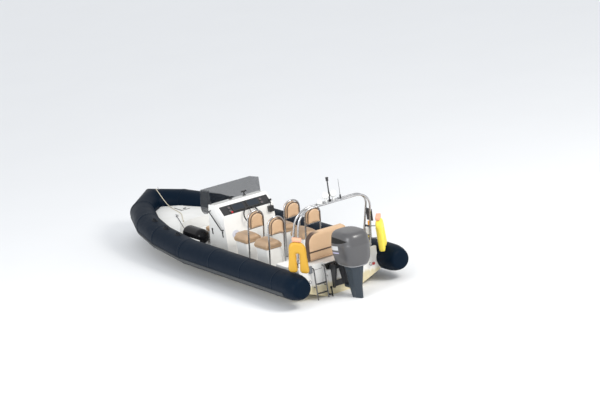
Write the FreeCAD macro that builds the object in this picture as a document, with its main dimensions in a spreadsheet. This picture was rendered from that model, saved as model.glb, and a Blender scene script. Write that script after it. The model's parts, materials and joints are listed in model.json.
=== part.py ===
import FreeCAD, Part
import math
import os

import Sketcher
from FreeCAD import Rotation, Vector

# Rigid inflatable boat, millimetres and degrees.
# +X runs to the bow, +Y to port, +Z up. The origin is on the centreline at the transom's
# aft face, at the height of the waterline on which the boat runs.

DOC = FreeCAD.newDocument("RibBoat")
SHEET = DOC.addObject("Spreadsheet::Sheet", "Dims")

# Driving dimensions
DIMENSIONS = (
    ("bow_start", 4000, "where the collar starts to run in towards the bow"),
    ("collar_radius", 265, "radius of the inflated collar"),
    ("collar_spread", 1140, "centreline of the collar to the boat's centreline, aft"),
    ("collar_height", 430, "height of the collar's centreline, aft"),
    ("collar_gap", 0.4, "glue line between the collar and the hull"),
    ("shell_wall", 12, "laminate of the hull"),
    ("transom_thick", 60, "transom, fore and aft"),
    ("transom_top", 700, "height of the transom beside the engine"),
    ("transom_cut", 500, "height of the transom under the engine"),
    ("drain_radius", 14, "drain hole through the transom"),
    ("sole_height", 220, "walking surface of the cockpit"),
    ("sole_thick", 25, "cockpit sole"),
    ("step_height", 380, "step in front of the console"),
    ("foredeck_height", 600, "top of the foredeck"),
    ("foredeck_thick", 25, "foredeck"),
    ("seating", 0.3, "gap of a piece that stands on another"),
    ("lid_ahead", 2480, "aft edge of the locker lid from the bow's start"),
    ("lid_long", 320, "locker lid, fore and aft"),
    ("lid_wide", 190, "locker lid, across"),
    ("lid_side", -205, "middle of the locker lid from the centreline"),
    ("lid_rest", 25, "how far the locker lid overlaps the deck"),
    ("lid_thick", 18, "locker lid"),
    ("console_aft", 3300, "foot of the console's aft face from the transom"),
    ("console_half", 600, "half of the console's width"),
    ("console_wall", 12, "laminate of the console"),
    ("dash_wide", 1130, "instrument panel, across"),
    ("dash_long", 232, "instrument panel, along its slope"),
    ("dash_thick", 8, "instrument panel"),
    ("screen_thick", 8, "windscreen"),
    ("wheel_radius", 175, "steering wheel to the middle of its rim"),
    ("wheel_grip", 14, "radius of the steering wheel's rim"),
    ("helm_side", -20, "steering wheel from the centreline"),
    ("seat_pitch", 800, "forward seats to aft seats"),
    ("seat_spread", 430, "seat to the centreline"),
    ("seat_aft", 1660, "foot of the aft seats' hoops from the transom"),
    ("standing_room", 790, "least room between the last seats' hoops and the console's aft face"),
    ("pod_long", 460, "seat pod, fore and aft"),
    ("pod_wide", 350, "seat pod, across"),
    ("pod_high", 480, "seat pod above the sole"),
    ("seat_tube", 17, "radius of the seat hoop's tube"),
    ("seat_lean", 9, "lean of the seat's back"),
    ("bench_half", 475, "half of the bench's width"),
    ("bench_height", 640, "top of the bench's moulding"),
    ("arch_tube", 21, "radius of the arch's tube"),
    ("arch_top", 1865, "height of the arch's top run"),
    ("arch_foot", 850, "foot of the arch to the centreline"),
    ("tilt_x", -135, "tilt pin, fore and aft"),
    ("tilt_z", 560, "tilt pin, height"),
    ("tilt_pin", 16, "radius of the tilt pin"),
    ("steer_x", -235, "steering pin, fore and aft"),
    ("steer_pin", 24, "radius of the steering pin"),
    ("running_fit", 0.05, "radial play of a pin in its eye"),
    ("prop_x", -875, "middle of the propeller, fore and aft"),
    ("prop_z", -330, "propeller shaft, height"),
    ("prop_radius", 195, "propeller"),
    ("shaft_radius", 16, "propeller shaft"),
    ("fender_radius", 165, "fender"),
    ("fender_long", 778, "fender, end to end"),
)


def fill_sheet():
    for row, (alias, amount, meaning) in enumerate(DIMENSIONS, start=1):
        SHEET.set(f"A{row}", alias)
        SHEET.set(f"B{row}", str(amount))
        SHEET.set(f"C{row}", meaning)
        SHEET.setAlias(f"B{row}", alias)
    DOC.recompute()


fill_sheet()
NODES = []


def value(expression):
    """An expression over the sheet's cells as a number."""
    return float(SHEET.evalExpression(str(expression)))


def dim(alias):
    return value(f"Dims.{alias}")


def keep(thing, label):
    """Marks a finished sub-part, whose label names its file."""
    thing.Label = label
    NODES.append(thing)
    return thing


def feature(label, shape, base=(0, 0, 0), turn=Rotation()):
    """A sub-part whose shape is worked out here."""
    thing = DOC.addObject("Part::Feature", label)
    thing.Shape = shape
    thing.Placement = FreeCAD.Placement(Vector(*base), turn)
    return keep(thing, label)


def bind(thing, **cells):
    for name, expression in cells.items():
        thing.setExpression(name, str(expression))
    return thing


def put(thing, x=0, y=0, z=0, turn=None):
    """Places a thing by expressions, with an optional fixed turn."""
    if turn is not None:
        thing.Placement = FreeCAD.Placement(Vector(), turn)
    for axis, expression in zip("xyz", (x, y, z)):
        thing.setExpression(f"Placement.Base.{axis}", str(expression))
    return thing


def primitive(kind, name, **cells):
    return bind(DOC.addObject(f"Part::{kind}", name), **cells)


def outline(body, name, role, points):
    """A closed sketch on an origin plane, each corner held by two bound distances."""
    sketch = body.newObject("Sketcher::SketchObject", name)
    plane = next(item for item in body.Origin.OriginFeatures if item.Role == role)
    sketch.AttachmentSupport = [(plane, "")]
    sketch.MapMode = "FlatFace"
    corners = [Vector(value(across), value(along), 0) for across, along in points]
    count = len(corners)
    for index, corner in enumerate(corners):
        sketch.addGeometry(Part.LineSegment(corner, corners[(index + 1) % count]), False)
    for index in range(count):
        sketch.addConstraint(Sketcher.Constraint("Coincident", index, 2, (index + 1) % count, 1))
    for index, (point, corner) in enumerate(zip(points, corners)):
        for kind, expression, amount in zip(("DistanceX", "DistanceY"), point, corner):
            held = sketch.addConstraint(Sketcher.Constraint(kind, -1, 1, index, 1, amount))
            sketch.setExpression(f"Constraints[{held}]", str(expression))
    return sketch


def padded(name, role, points, width):
    """A body with one outline padded to both sides of its plane."""
    body = DOC.addObject("PartDesign::Body", name)
    pad = body.newObject("PartDesign::Pad", f"{name}_pad")
    pad.Profile = outline(body, f"{name}_outline", role, points)
    pad.SideType = "Symmetric"
    bind(pad, Length=width)
    DOC.recompute()
    return body


def pocketed(body, role, points, width):
    """Cuts one outline to both sides of its plane out of a body."""
    pocket = body.newObject("PartDesign::Pocket", f"{body.Name}_pocket")
    pocket.Profile = outline(body, f"{body.Name}_hollow", role, points)
    pocket.SideType = "Symmetric"
    bind(pocket, Length=width)
    DOC.recompute()
    return body


def rounded(body, radius, test):
    """Fillets the edges of a body's tip that pass a test of their two ends."""
    tip = body.Tip
    names = [
        f"Edge{index}"
        for index, edge in enumerate(tip.Shape.Edges, start=1)
        if len(edge.Vertexes) == 2 and test(edge.Vertexes[0].Point, edge.Vertexes[1].Point)
    ]
    fillet = body.newObject("PartDesign::Fillet", f"{body.Name}_fillet")
    fillet.Base = (tip, names)
    bind(fillet, Radius=radius)
    DOC.recompute()
    return body


def joined(kind, name, things):
    result = DOC.addObject(f"Part::{kind}", name)
    result.Shapes = things
    DOC.recompute()
    return result


def cut(name, base, tool):
    result = DOC.addObject("Part::Cut", name)
    result.Base = base
    result.Tool = tool
    DOC.recompute()
    return result


def bent_path(points, radii):
    """A wire of straight runs with a tangent arc at each inner corner."""
    edges = []
    start = points[0]
    for before, corner, after, radius in zip(points, points[1:], points[2:], radii):
        inward = (before - corner).normalize()
        outward = (after - corner).normalize()
        half = inward.getAngle(outward) / 2.0
        reach = radius / math.tan(half)
        middle = (inward + outward).normalize() * (radius / math.sin(half) - radius)
        edges.append(Part.LineSegment(start, corner + inward * reach).toShape())
        arc = Part.Arc(corner + inward * reach, corner + middle, corner + outward * reach)
        edges.append(arc.toShape())
        start = corner + outward * reach
    edges.append(Part.LineSegment(start, points[-1]).toShape())
    return Part.Wire(edges)


def tube(path, radius):
    """A round bar along a wire."""
    first = path.Edges[0]
    at = first.valueAt(first.FirstParameter)
    along = first.tangentAt(first.FirstParameter)
    ring = Part.Wire(Part.Circle(at, along, radius).toShape())
    return path.makePipeShell([ring], True, True)


def bent_tube(points, bend, radius):
    corners = [Vector(*point) for point in points]
    return tube(bent_path(corners, [bend] * (len(corners) - 2)), radius)


def mirrored(shape):
    """The same shape on the other side of the centreline."""
    return shape.mirror(Vector(0, 0, 0), Vector(0, 1, 0))


# Collar: a centreline of straight gores that meet in mitres, port side from the stern
COLLAR_AFT = -120
COLLAR_LINE = (
    # from the bow's start, share of the aft spread, rise above the aft height
    (0, 1.0, 5),
    (1300, 0.905, 55),
    (2230, 0.745, 125),
    (3100, 0.447, 180),
    (3560, 0.0, 245),
)
CONE_LONG = 320
CONE_END = 0.74
CAP_LONG = 45


def collar_points():
    """Corners of the port centreline from the stern to the nose."""
    spread = dim("collar_spread")
    height = dim("collar_height")
    points = [Vector(COLLAR_AFT, spread, height)]
    for ahead, share, rise in COLLAR_LINE:
        points.append(Vector(dim("bow_start") + ahead, spread * share, height + rise))
    return points


def gore(start, end, before, after, radius):
    """One cylinder of the collar, trimmed by the mitre plane at each end."""
    along = (end - start).normalize()
    spare = 2 * radius
    solid = Part.makeCylinder(radius, (end - start).Length + 2 * spare, start - along * spare, along)
    for at, other, side in ((start, before, -1), (end, after, 1)):
        normal = along if other is None else (along + other).normalize()
        trim = Part.makeCylinder(3 * radius, 6 * radius, at, normal * side)
        solid = solid.cut(trim)
    return solid


def collar_gores(radius):
    """Port gores from the stern to the nose, in order."""
    points = collar_points()
    runs = [(end - start).normalize() for start, end in zip(points, points[1:])]
    across = Vector(-runs[-1].x, runs[-1].y, -runs[-1].z)
    solids = []
    for index, (start, end) in enumerate(zip(points, points[1:])):
        before = runs[index - 1] if index else None
        after = runs[index + 1] if index + 1 < len(runs) else across
        solids.append(gore(start, end, before, after, radius))
    return solids


def collar_cone():
    """The blunt cone that closes a tube's aft end."""
    radius = dim("collar_radius")
    start, ahead = collar_points()[:2]
    aft = (start - ahead).normalize()
    small = radius * CONE_END
    cone = Part.makeCone(radius, small, CONE_LONG, start, aft)
    cap = Part.makeCylinder(small, CAP_LONG, start + aft * CONE_LONG, aft)
    return cone.fuse(cap).removeSplitter()


def collar_space():
    """What the hull and the decks leave free for the collar."""
    fat = collar_gores(dim("collar_radius") + dim("collar_gap"))
    shape = fat[0].multiFuse(fat[1:])
    return shape.fuse(mirrored(shape))


def collar():
    gores = collar_gores(dim("collar_radius"))
    aft = gores[0].fuse(collar_cone()).removeSplitter()
    fore = gores[1].multiFuse(gores[2:4]).removeSplitter()
    feature("tube_aft_port", aft)
    feature("tube_aft_stbd", mirrored(aft))
    feature("tube_fore_port", fore)
    feature("tube_fore_stbd", mirrored(fore))
    feature("tube_bow", gores[4].fuse(mirrored(gores[4])).removeSplitter())


# Rubbing strake: a flat-backed band along the outer side of each gore, below its middle
STRAKE_DROP = 24
STRAKE_HALF = 45
STRAKE_THICK = 14


def strake(start, end, before, after):
    """A band on one gore's outer side, cut at the same mitres."""
    radius = dim("collar_radius")
    inner = radius + dim("seating")
    outer = gore(start, end, before, after, radius + STRAKE_THICK)
    along = (end - start).normalize()
    down = math.radians(STRAKE_DROP)
    side = Vector(-along.y, along.x, 0).normalize()
    out = side * math.cos(down) - Vector(0, 0, 1) * math.sin(down)
    long = (end - start).Length + 4 * radius
    wide = out.cross(along).normalize()
    corner = start - along * 2 * radius - wide * STRAKE_HALF
    box = Part.makeBox(long, 2 * STRAKE_HALF, 2 * radius)
    axes = Rotation(along, wide, along.cross(wide), "XYZ")
    box.Placement = FreeCAD.Placement(corner, axes)
    if axes.multVec(Vector(0, 0, 1)).dot(out) < 0:
        box.Placement = FreeCAD.Placement(corner + wide * 2 * STRAKE_HALF, Rotation(along, 180).multiply(axes))
    band = outer.common(box)
    return band.cut(Part.makeCylinder(inner, long, start - along * 2 * radius, along))


def rub_strakes():
    points = collar_points()
    runs = [(end - start).normalize() for start, end in zip(points, points[1:])]
    across = Vector(-runs[-1].x, runs[-1].y, -runs[-1].z)
    bands = []
    for index, (start, end) in enumerate(zip(points, points[1:])):
        before = runs[index - 1] if index else None
        after = runs[index + 1] if index + 1 < len(runs) else across
        bands.append(strake(start, end, before, after))
    half = bands[0].multiFuse(bands[1:])
    feature("rub_strakes", half.fuse(mirrored(half)).removeSplitter())


# Hull: a deep V drawn by a few straight-sided sections
HULL_STERN = (-150, 940, 222, 985, 440)
HULL_STATIONS = (
    # from the bow's start, keel z, chine y, chine z, sheer y, sheer z
    (-1000, -150, 940, 225, 985, 445),
    (200, -150, 920, 240, 970, 450),
    (1300, -140, 810, 295, 870, 490),
    (2230, -70, 620, 375, 690, 560),
    (2950, 110, 360, 460, 420, 610),
    (3420, 400, 60, 560, 90, 660),
)
# The hollow of the hull stops this far short of the stem
STEM_SOLID = 100


DRAIN_PLACE = (280, 400)


def hull_section(x, row, wall, top):
    """A closed section of the hull, drawn in by the wall, up to a flat top."""
    keel, chine_y, chine_z, sheer_y, sheer_z = row
    inset = min(wall * 1.3, sheer_y * 0.4)
    half = (
        (0, keel + wall * 1.4),
        (chine_y - inset, chine_z + wall * 0.6),
        (sheer_y - inset, sheer_z),
        (sheer_y - inset, sheer_z + top),
    )
    ring = [Vector(x, y, z) for y, z in half]
    ring += [Vector(x, -y, z) for y, z in reversed(half[1:])]
    return Part.makePolygon(ring + ring[:1])


def hull_solid(wall, top, aft, short):
    """The hull from a plane at the stern to its last section, moved aft by what it is short."""
    sections = [hull_section(aft, HULL_STERN, wall, top)]
    for ahead, *row in HULL_STATIONS:
        x = dim("bow_start") + ahead
        if ahead == HULL_STATIONS[-1][0]:
            x -= short
        sections.append(hull_section(x, row, wall, top))
    return Part.makeLoft(sections, True, True)


def transom_board():
    """The full-height board that carries the engine, with its cut-out."""
    top = dim("transom_top")
    low = dim("transom_cut")
    corners = (
        (-905, 300), (-905, top), (-345, top), (-275, low),
        (275, low), (345, top), (905, top), (905, 300),
    )
    ring = [Vector(0, y, z) for y, z in corners]
    face = Part.Face(Part.makePolygon(ring + ring[:1]))
    return face.extrude(Vector(dim("transom_thick"), 0, 0))


def cavity():
    return hull_solid(dim("shell_wall"), 400, dim("transom_thick"), STEM_SOLID)


def hull(space):
    outer = hull_solid(0, 1, 0, 0)
    shell = outer.cut(cavity()).fuse(transom_board())
    drain = Part.makeCylinder(dim("drain_radius"), 200, Vector(-50, *DRAIN_PLACE), Vector(1, 0, 0))
    feature("hull", shell.cut(space).cut(drain).removeSplitter())


def slab(x0, x1, z0, z1):
    return Part.makeBox(x1 - x0, 3000, z1 - z0, Vector(x0, -1500, z0))


# Aft edge of the foredeck: half of it from the centreline to the collar
DECK_EDGE = ((1690, 0), (1645, 240), (1545, 400), (1414, 514), (850, 862))
BULKHEAD_THICK = 26
# The fender's aft end from the console's aft foot, and its fore end from where the edge is drawn
FENDER_AHEAD = 962
FENDER_PAST = 1040


def deck_start():
    """Where the deck's edge is drawn from: the well aft of it is as long as the fender in it."""
    return dim("console_aft") + FENDER_AHEAD + dim("fender_long") - FENDER_PAST


def deck_well(shift, low, high):
    """All that lies aft of the foredeck's curved edge, between two heights."""
    points = [Vector(deck_start() + ahead + shift, y, low) for ahead, y in DECK_EDGE]
    left = [Vector(point.x, -point.y, point.z) for point in points]
    corner = Vector(points[-1].x - 6000, points[-1].y, low)
    edges = [
        Part.Arc(left[1], points[0], points[1]).toShape(),
        Part.Arc(points[1], points[2], points[3]).toShape(),
        Part.LineSegment(points[3], points[4]).toShape(),
        Part.LineSegment(points[4], corner).toShape(),
        Part.LineSegment(corner, Vector(corner.x, -corner.y, low)).toShape(),
        Part.LineSegment(Vector(corner.x, -corner.y, low), left[4]).toShape(),
        Part.LineSegment(left[4], left[3]).toShape(),
        Part.Arc(left[3], left[2], left[1]).toShape(),
    ]
    return Part.Face(Part.Wire(edges)).extrude(Vector(0, 0, high - low))


def sole(space):
    top = dim("sole_height")
    low = top - dim("sole_thick")
    fore = deck_start() + DECK_EDGE[-1][0]
    floor = cavity().common(slab(dim("transom_thick"), fore, low, top))
    feature("sole", floor.cut(space))


# Hinge of the locker lid: its axis ahead of the lid's edge and above the deck, its knuckles and pin
HINGE_AHEAD = 14
HINGE_RISE = 11
KNUCKLE_RADIUS = 8
KNUCKLE_HALF = 15
EYE_SPAN = (17, 45)
HINGE_PIN = 3


def hinge_eyes():
    """Two eyes on the deck and the pin between them."""
    x = dim("bow_start") + dim("lid_ahead") + dim("lid_long") + HINGE_AHEAD
    z = dim("foredeck_height") + HINGE_RISE
    near, far = EYE_SPAN
    side = dim("lid_side")
    across = Vector(0, 1, 0)
    pieces = [Part.makeCylinder(HINGE_PIN, 2 * far, Vector(x, side - far, z), across)]
    for y in (side + near, side - far):
        pieces.append(Part.makeCylinder(KNUCKLE_RADIUS, far - near, Vector(x, y, z), across))
        base = Part.makeBox(2 * KNUCKLE_RADIUS, far - near, 2 * HINGE_RISE)
        base.translate(Vector(x - KNUCKLE_RADIUS, y, z - 2 * HINGE_RISE))
        pieces.append(base)
    return pieces


def foredeck(space):
    """The bow locker's top and its aft bulkhead, open under the lid."""
    top = dim("foredeck_height")
    low = top - dim("foredeck_thick")
    start = dim("bow_start")
    room = cavity()
    deck = room.common(slab(deck_start(), start + 4000, low, top)).cut(deck_well(0, low - 1, top + 1))
    foot = dim("sole_height") - 60
    wall = deck_well(BULKHEAD_THICK, foot, low + 1).cut(deck_well(0, foot - 1, low + 2))
    bulkhead = room.common(wall)
    opening = Part.makeBox(
        dim("lid_long") - 2 * dim("lid_rest"),
        dim("lid_wide") - 2 * dim("lid_rest"),
        200,
        Vector(
            start + dim("lid_ahead") + dim("lid_rest"),
            dim("lid_side") - dim("lid_wide") / 2 + dim("lid_rest"),
            low - 100,
        ),
    )
    shape = deck.fuse(bulkhead).cut(space).cut(opening).multiFuse(hinge_eyes())
    feature("foredeck", shape.removeSplitter())


def locker_lid():
    """The lid's plate with the knuckle at its fore edge, drawn about the hinge."""
    plate = primitive("Box", "lid_plate", Length="Dims.lid_long", Width="Dims.lid_wide",
                      Height="Dims.lid_thick")
    put(plate, f"-Dims.lid_long - {HINGE_AHEAD}", "-Dims.lid_wide / 2", f"Dims.seating - {HINGE_RISE}")
    knuckle = primitive("Cylinder", "lid_knuckle", Radius=KNUCKLE_RADIUS, Height=2 * KNUCKLE_HALF)
    put(knuckle, 0, KNUCKLE_HALF, 0, Rotation(Vector(1, 0, 0), 90))
    leaf = primitive("Box", "lid_leaf", Length=HINGE_AHEAD + 6, Width=2 * KNUCKLE_HALF, Height=11)
    put(leaf, -HINGE_AHEAD - 6, -KNUCKLE_HALF, -6)
    solid = joined("MultiFuse", "lid_solid", [plate, knuckle, leaf])
    bore = primitive("Cylinder", "lid_bore", Radius=f"{HINGE_PIN} + Dims.running_fit", Height=60)
    put(bore, 0, 30, 0, Rotation(Vector(1, 0, 0), 90))
    lid = cut("lid_cut", solid, bore)
    put(lid, f"Dims.bow_start + Dims.lid_ahead + Dims.lid_long + {HINGE_AHEAD}", "Dims.lid_side",
        f"Dims.foredeck_height + {HINGE_RISE}")
    keep(lid, "locker_lid")


# The console's side outline, drawn from the foot of its aft face: face, dash slope, top, front
AFT_FACE_LOW = ("0", "Dims.sole_height + Dims.seating")
AFT_FACE_HIGH = ("40", "1135")
CONSOLE_OUTLINE = (
    AFT_FACE_LOW,
    AFT_FACE_HIGH,
    ("240", "1305"),
    ("300", "1350"),
    ("590", "1318"),
    ("635", "1150"),
    ("740", "513"),
    ("795", "Dims.sole_height + Dims.seating"),
)
CONSOLE_HOLLOW = (
    ("Dims.console_wall", "Dims.sole_height - 10"),
    ("40 + Dims.console_wall", "1135 - Dims.console_wall / 2"),
    ("240 + Dims.console_wall / 2", "1305 - Dims.console_wall"),
    ("300", "1350 - Dims.console_wall"),
    ("590 - Dims.console_wall", "1318 - Dims.console_wall"),
    ("635 - Dims.console_wall", "1150 - Dims.console_wall / 2"),
    ("740 - Dims.console_wall", "513"),
    ("795 - Dims.console_wall", "Dims.sole_height - 10"),
)
# Shelf behind the windscreen's foot
SHELF_OUTLINE = (
    ("620", "1150"),
    ("933.6 - Dims.seating", "1150"),
    ("924 - Dims.seating", "1120"),
    ("632", "1120"),
)


def console():
    body = padded("console_shell", "XZ_Plane", CONSOLE_OUTLINE, "2 * Dims.console_half")
    hollow_width = "2 * Dims.console_half - 2 * Dims.console_wall"
    pocketed(body, "XZ_Plane", CONSOLE_HOLLOW, hollow_width)
    inside = "2 * (Dims.console_half - 5 - Dims.screen_thick - Dims.seating)"
    shelf = padded("console_shelf", "XZ_Plane", SHELF_OUTLINE, inside)
    whole = joined("MultiFuse", "console_whole", [body, shelf])
    keep(put(whole, "Dims.console_aft"), "console")


def dash_panel():
    rise = math.degrees(math.atan2(1305 - 1135, 240 - 40))
    panel = primitive("Box", "dash_plate", Length="Dims.dash_long", Width="Dims.dash_wide",
                      Height="Dims.dash_thick")
    lift = "Dims.seating"
    put(panel, f"Dims.console_aft + 52 - {lift} * sin({rise})", "-Dims.dash_wide / 2",
        f"1135 + 12 * tan({rise}) + {lift} * cos({rise})", Rotation(Vector(0, 1, 0), -rise))
    keep(panel, "dash_panel")


# Windscreen side outline; its lower edge follows the console's top and front
SCREEN_OUTLINE = (
    ("490", "1329 + Dims.seating"),
    ("590", "1318 + Dims.seating"),
    ("635 + Dims.seating", "1150 + Dims.seating"),
    ("697", "1100"),
    ("841", "1077"),
    ("932", "1120"),
    ("960", "1207"),
    ("865", "1590"),
    ("490", "1630"),
)
SCREEN_HOLLOW = (
    ("300", "900"),
    ("932 - Dims.screen_thick", "900"),
    ("932 - Dims.screen_thick", "1120"),
    ("960 - Dims.screen_thick", "1207"),
    ("865 - Dims.screen_thick", "1590"),
    ("865 - Dims.screen_thick", "1800"),
    ("300", "1800"),
)


def windscreen():
    body = padded("windscreen", "XZ_Plane", SCREEN_OUTLINE, "2 * Dims.console_half - 10")
    hollow_width = "2 * Dims.console_half - 10 - 2 * Dims.screen_thick"
    pocketed(body, "XZ_Plane", SCREEN_HOLLOW, hollow_width)
    keep(put(body, "Dims.console_aft"), "windscreen")


# Helm: a short column on the console's aft face and the wheel that turns on its spigot
HELM_AHEAD = 33
HELM_Z = 1010
HELM_RISE = 25
HELM_TURN = Rotation(Vector(0, 1, 0), -(90 - HELM_RISE))
COLUMN_LONG = 70
SPIGOT_RADIUS = 10
SPIGOT_LONG = 45


def console_front_of(name, width, y):
    """Everything forward of the console's aft face, to trim what is bolted to that face."""
    face = [(f"{x} - Dims.seating", z) for x, z in (AFT_FACE_LOW, AFT_FACE_HIGH)]
    behind = [("400", "1135"), ("400", "Dims.sole_height")]
    body = padded(name, "XZ_Plane", face + behind, width)
    return put(body, "Dims.console_aft", y, 0)


def helm():
    boss = primitive("Cylinder", "column_boss", Radius="34", Height=COLUMN_LONG + 40)
    put(boss, 0, 0, -40)
    spigot = primitive("Cylinder", "column_spigot", Radius=SPIGOT_RADIUS, Height=SPIGOT_LONG)
    put(spigot, 0, 0, COLUMN_LONG - 1)
    column = joined("MultiFuse", "column_whole", [boss, spigot])
    put(column, f"Dims.console_aft + {HELM_AHEAD}", "Dims.helm_side", HELM_Z, HELM_TURN)
    trim = console_front_of("column_trim", "200", "Dims.helm_side")
    keep(cut("helm_column_cut", column, trim), "helm_column")

    rim = primitive("Torus", "wheel_rim", Radius1="Dims.wheel_radius", Radius2="Dims.wheel_grip")
    hub = primitive("Cylinder", "wheel_hub", Radius=38, Height=34)
    put(hub, 0, 0, -17)
    spokes = []
    for index in range(3):
        spoke = primitive("Cylinder", f"wheel_spoke_{index}", Radius=10,
                          Height="Dims.wheel_radius - 20")
        turn = Rotation(Vector(0, 0, 1), 120 * index).multiply(Rotation(Vector(0, 1, 0), 90))
        along = turn.multVec(Vector(0, 0, 20))
        put(spoke, along.x, along.y, 0, turn)
        spokes.append(spoke)
    wheel = joined("MultiFuse", "wheel_solid", [rim, hub] + spokes)
    bore = primitive("Cylinder", "wheel_bore", Radius=f"{SPIGOT_RADIUS} + Dims.running_fit", Height=60)
    put(bore, 0, 0, -30)
    done = cut("wheel_cut", wheel, bore)
    out = HELM_TURN.multVec(Vector(0, 0, COLUMN_LONG + 5 + 17))
    put(done, f"Dims.console_aft + {HELM_AHEAD + out.x}", "Dims.helm_side", HELM_Z + out.z, HELM_TURN)
    keep(done, "steering_wheel")


THROTTLE_SIDE = -505


def throttle():
    """The engine control: a binnacle on the aft face and its lever."""
    binnacle = primitive("Box", "binnacle", Length=100, Width=110, Height=120)
    put(binnacle, "Dims.console_aft - 38", THROTTLE_SIDE - 55, 985)
    stalk = primitive("Cylinder", "lever_stalk", Radius=9, Height=130)
    put(stalk, "Dims.console_aft - 10", THROTTLE_SIDE, 1095)
    knob = primitive("Box", "lever_knob", Length=34, Width=60, Height=40)
    put(knob, "Dims.console_aft - 27", THROTTLE_SIDE - 30, 1215)
    whole = joined("MultiFuse", "throttle_solid", [binnacle, stalk, knob])
    trim = console_front_of("throttle_trim", "140", THROTTLE_SIDE)
    keep(cut("throttle_cut", whole, trim), "throttle")


# Grab rails: upper and lower end from the console's aft foot, and how far they stand off
RAIL_HIGH = (535, 1195)
RAIL_LOW = (100, 850)
RAIL_OUT = 48


def console_rails():
    side = dim("console_half") + dim("seating")
    ends = [(dim("console_aft") + ahead, z) for ahead, z in (RAIL_HIGH, RAIL_LOW)]
    points = [(ends[0][0], side, ends[0][1]), (ends[0][0], side + RAIL_OUT, ends[0][1])]
    points += [(ends[1][0], side + RAIL_OUT, ends[1][1]), (ends[1][0], side, ends[1][1])]
    rail = bent_tube(points, 25, 12)
    feature("console_rails", Part.makeCompound([rail, mirrored(rail)]))


# Seat in front of the console: its block and cushion from the console's aft foot
STEP_AHEAD = 796
SEAT_BLOCK = (810, 1290)
SEAT_BLOCK_HALF = 380
SEAT_BLOCK_TOP = 590
SEAT_CUSHION = (805, 1310)


def console_seat(space):
    """The seat in front of the console on the raised floor that runs to the foredeck."""
    start = dim("console_aft")
    step = dim("step_height")
    low = dim("sole_height") + dim("seating")
    floor = cavity().common(slab(start + STEP_AHEAD, deck_start() + 2000, low, step))
    floor = floor.common(deck_well(-1, low - 1, step + 1)).cut(space)
    aft, fore = SEAT_BLOCK
    block = Part.makeBox(fore - aft, 2 * SEAT_BLOCK_HALF, SEAT_BLOCK_TOP - step + 1)
    block.translate(Vector(start + aft, -SEAT_BLOCK_HALF, step - 1))
    feature("console_seat", floor.fuse(block).removeSplitter())
    aft, fore = SEAT_CUSHION
    cushion = (
        (aft, f"{SEAT_BLOCK_TOP} + Dims.seating"),
        (aft, SEAT_BLOCK_TOP + 100),
        (fore - 10, SEAT_BLOCK_TOP + 95),
        (fore, f"{SEAT_BLOCK_TOP} + Dims.seating"),
    )
    body = padded("console_cushion", "XZ_Plane", cushion, 2 * SEAT_BLOCK_HALF + 10)
    rounded(body, "30", lambda a, b: min(a.z, b.z) > SEAT_BLOCK_TOP + 60)
    keep(put(body, "Dims.console_aft"), "console_cushion")


# Jockey seats, each drawn about the foot of its hoop on the sole
POD_OUTLINE = (
    ("30", "Dims.seating"),
    ("30", "Dims.pod_high"),
    ("30 + Dims.pod_long", "Dims.pod_high"),
    ("Dims.pod_long", "Dims.seating"),
)
CUSHION_OUTLINE = (
    ("-190", "Dims.pod_high + Dims.seating"),
    ("-198", "Dims.pod_high + 70"),
    ("-110", "Dims.pod_high + 160"),
    ("110", "Dims.pod_high + 160"),
    ("198", "Dims.pod_high + 70"),
    ("190", "Dims.pod_high + Dims.seating"),
)


# Crossbar above the foot, its share of the tube's radius, and the middle of the pad's round top
BAR_HEIGHT = 830
BAR_SHARE = 0.7
PAD_MIDDLE = 1020


def seat_hoop_shape():
    """An inverted U that leans aft, with its feet and a crossbar under the back pad."""
    radius = dim("seat_tube")
    half = 178
    leg = 1020
    bow = bent_tube([(0, half, 0), (0, half, leg + half), (0, -half, leg + half), (0, -half, 0)], half - 1, radius)
    bar_radius = radius * BAR_SHARE
    bar = Part.makeCylinder(bar_radius, 2 * half, Vector(0, -half, BAR_HEIGHT), Vector(0, 1, 0))
    shape = bow.fuse(bar)
    shape.rotate(Vector(0, 0, 0), Vector(0, 1, 0), -dim("seat_lean"))
    floor = Part.makeBox(400, 800, 400, Vector(-200, -400, -400 + dim("seating")))
    shape = shape.cut(floor)
    for side in (-half, half):
        shape = shape.fuse(Part.makeCylinder(34, 8, Vector(0, side, dim("seating")), Vector(0, 0, 1)))
    return shape.removeSplitter()


def seat_back(name):
    """A D-shaped pad inside the hoop."""
    low = f"{BAR_HEIGHT} + Dims.seat_tube * {BAR_SHARE} + Dims.seating"
    lower = primitive("Box", f"{name}_lower", Length=120, Width=300, Height=f"{PAD_MIDDLE} - ({low})")
    put(lower, -60, -150, low)
    upper = primitive("Cylinder", f"{name}_upper", Radius=150, Height=120)
    put(upper, -60, 0, PAD_MIDDLE, Rotation(Vector(0, 1, 0), 90))
    return joined("MultiFuse", f"{name}_solid", [lower, upper])


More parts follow.
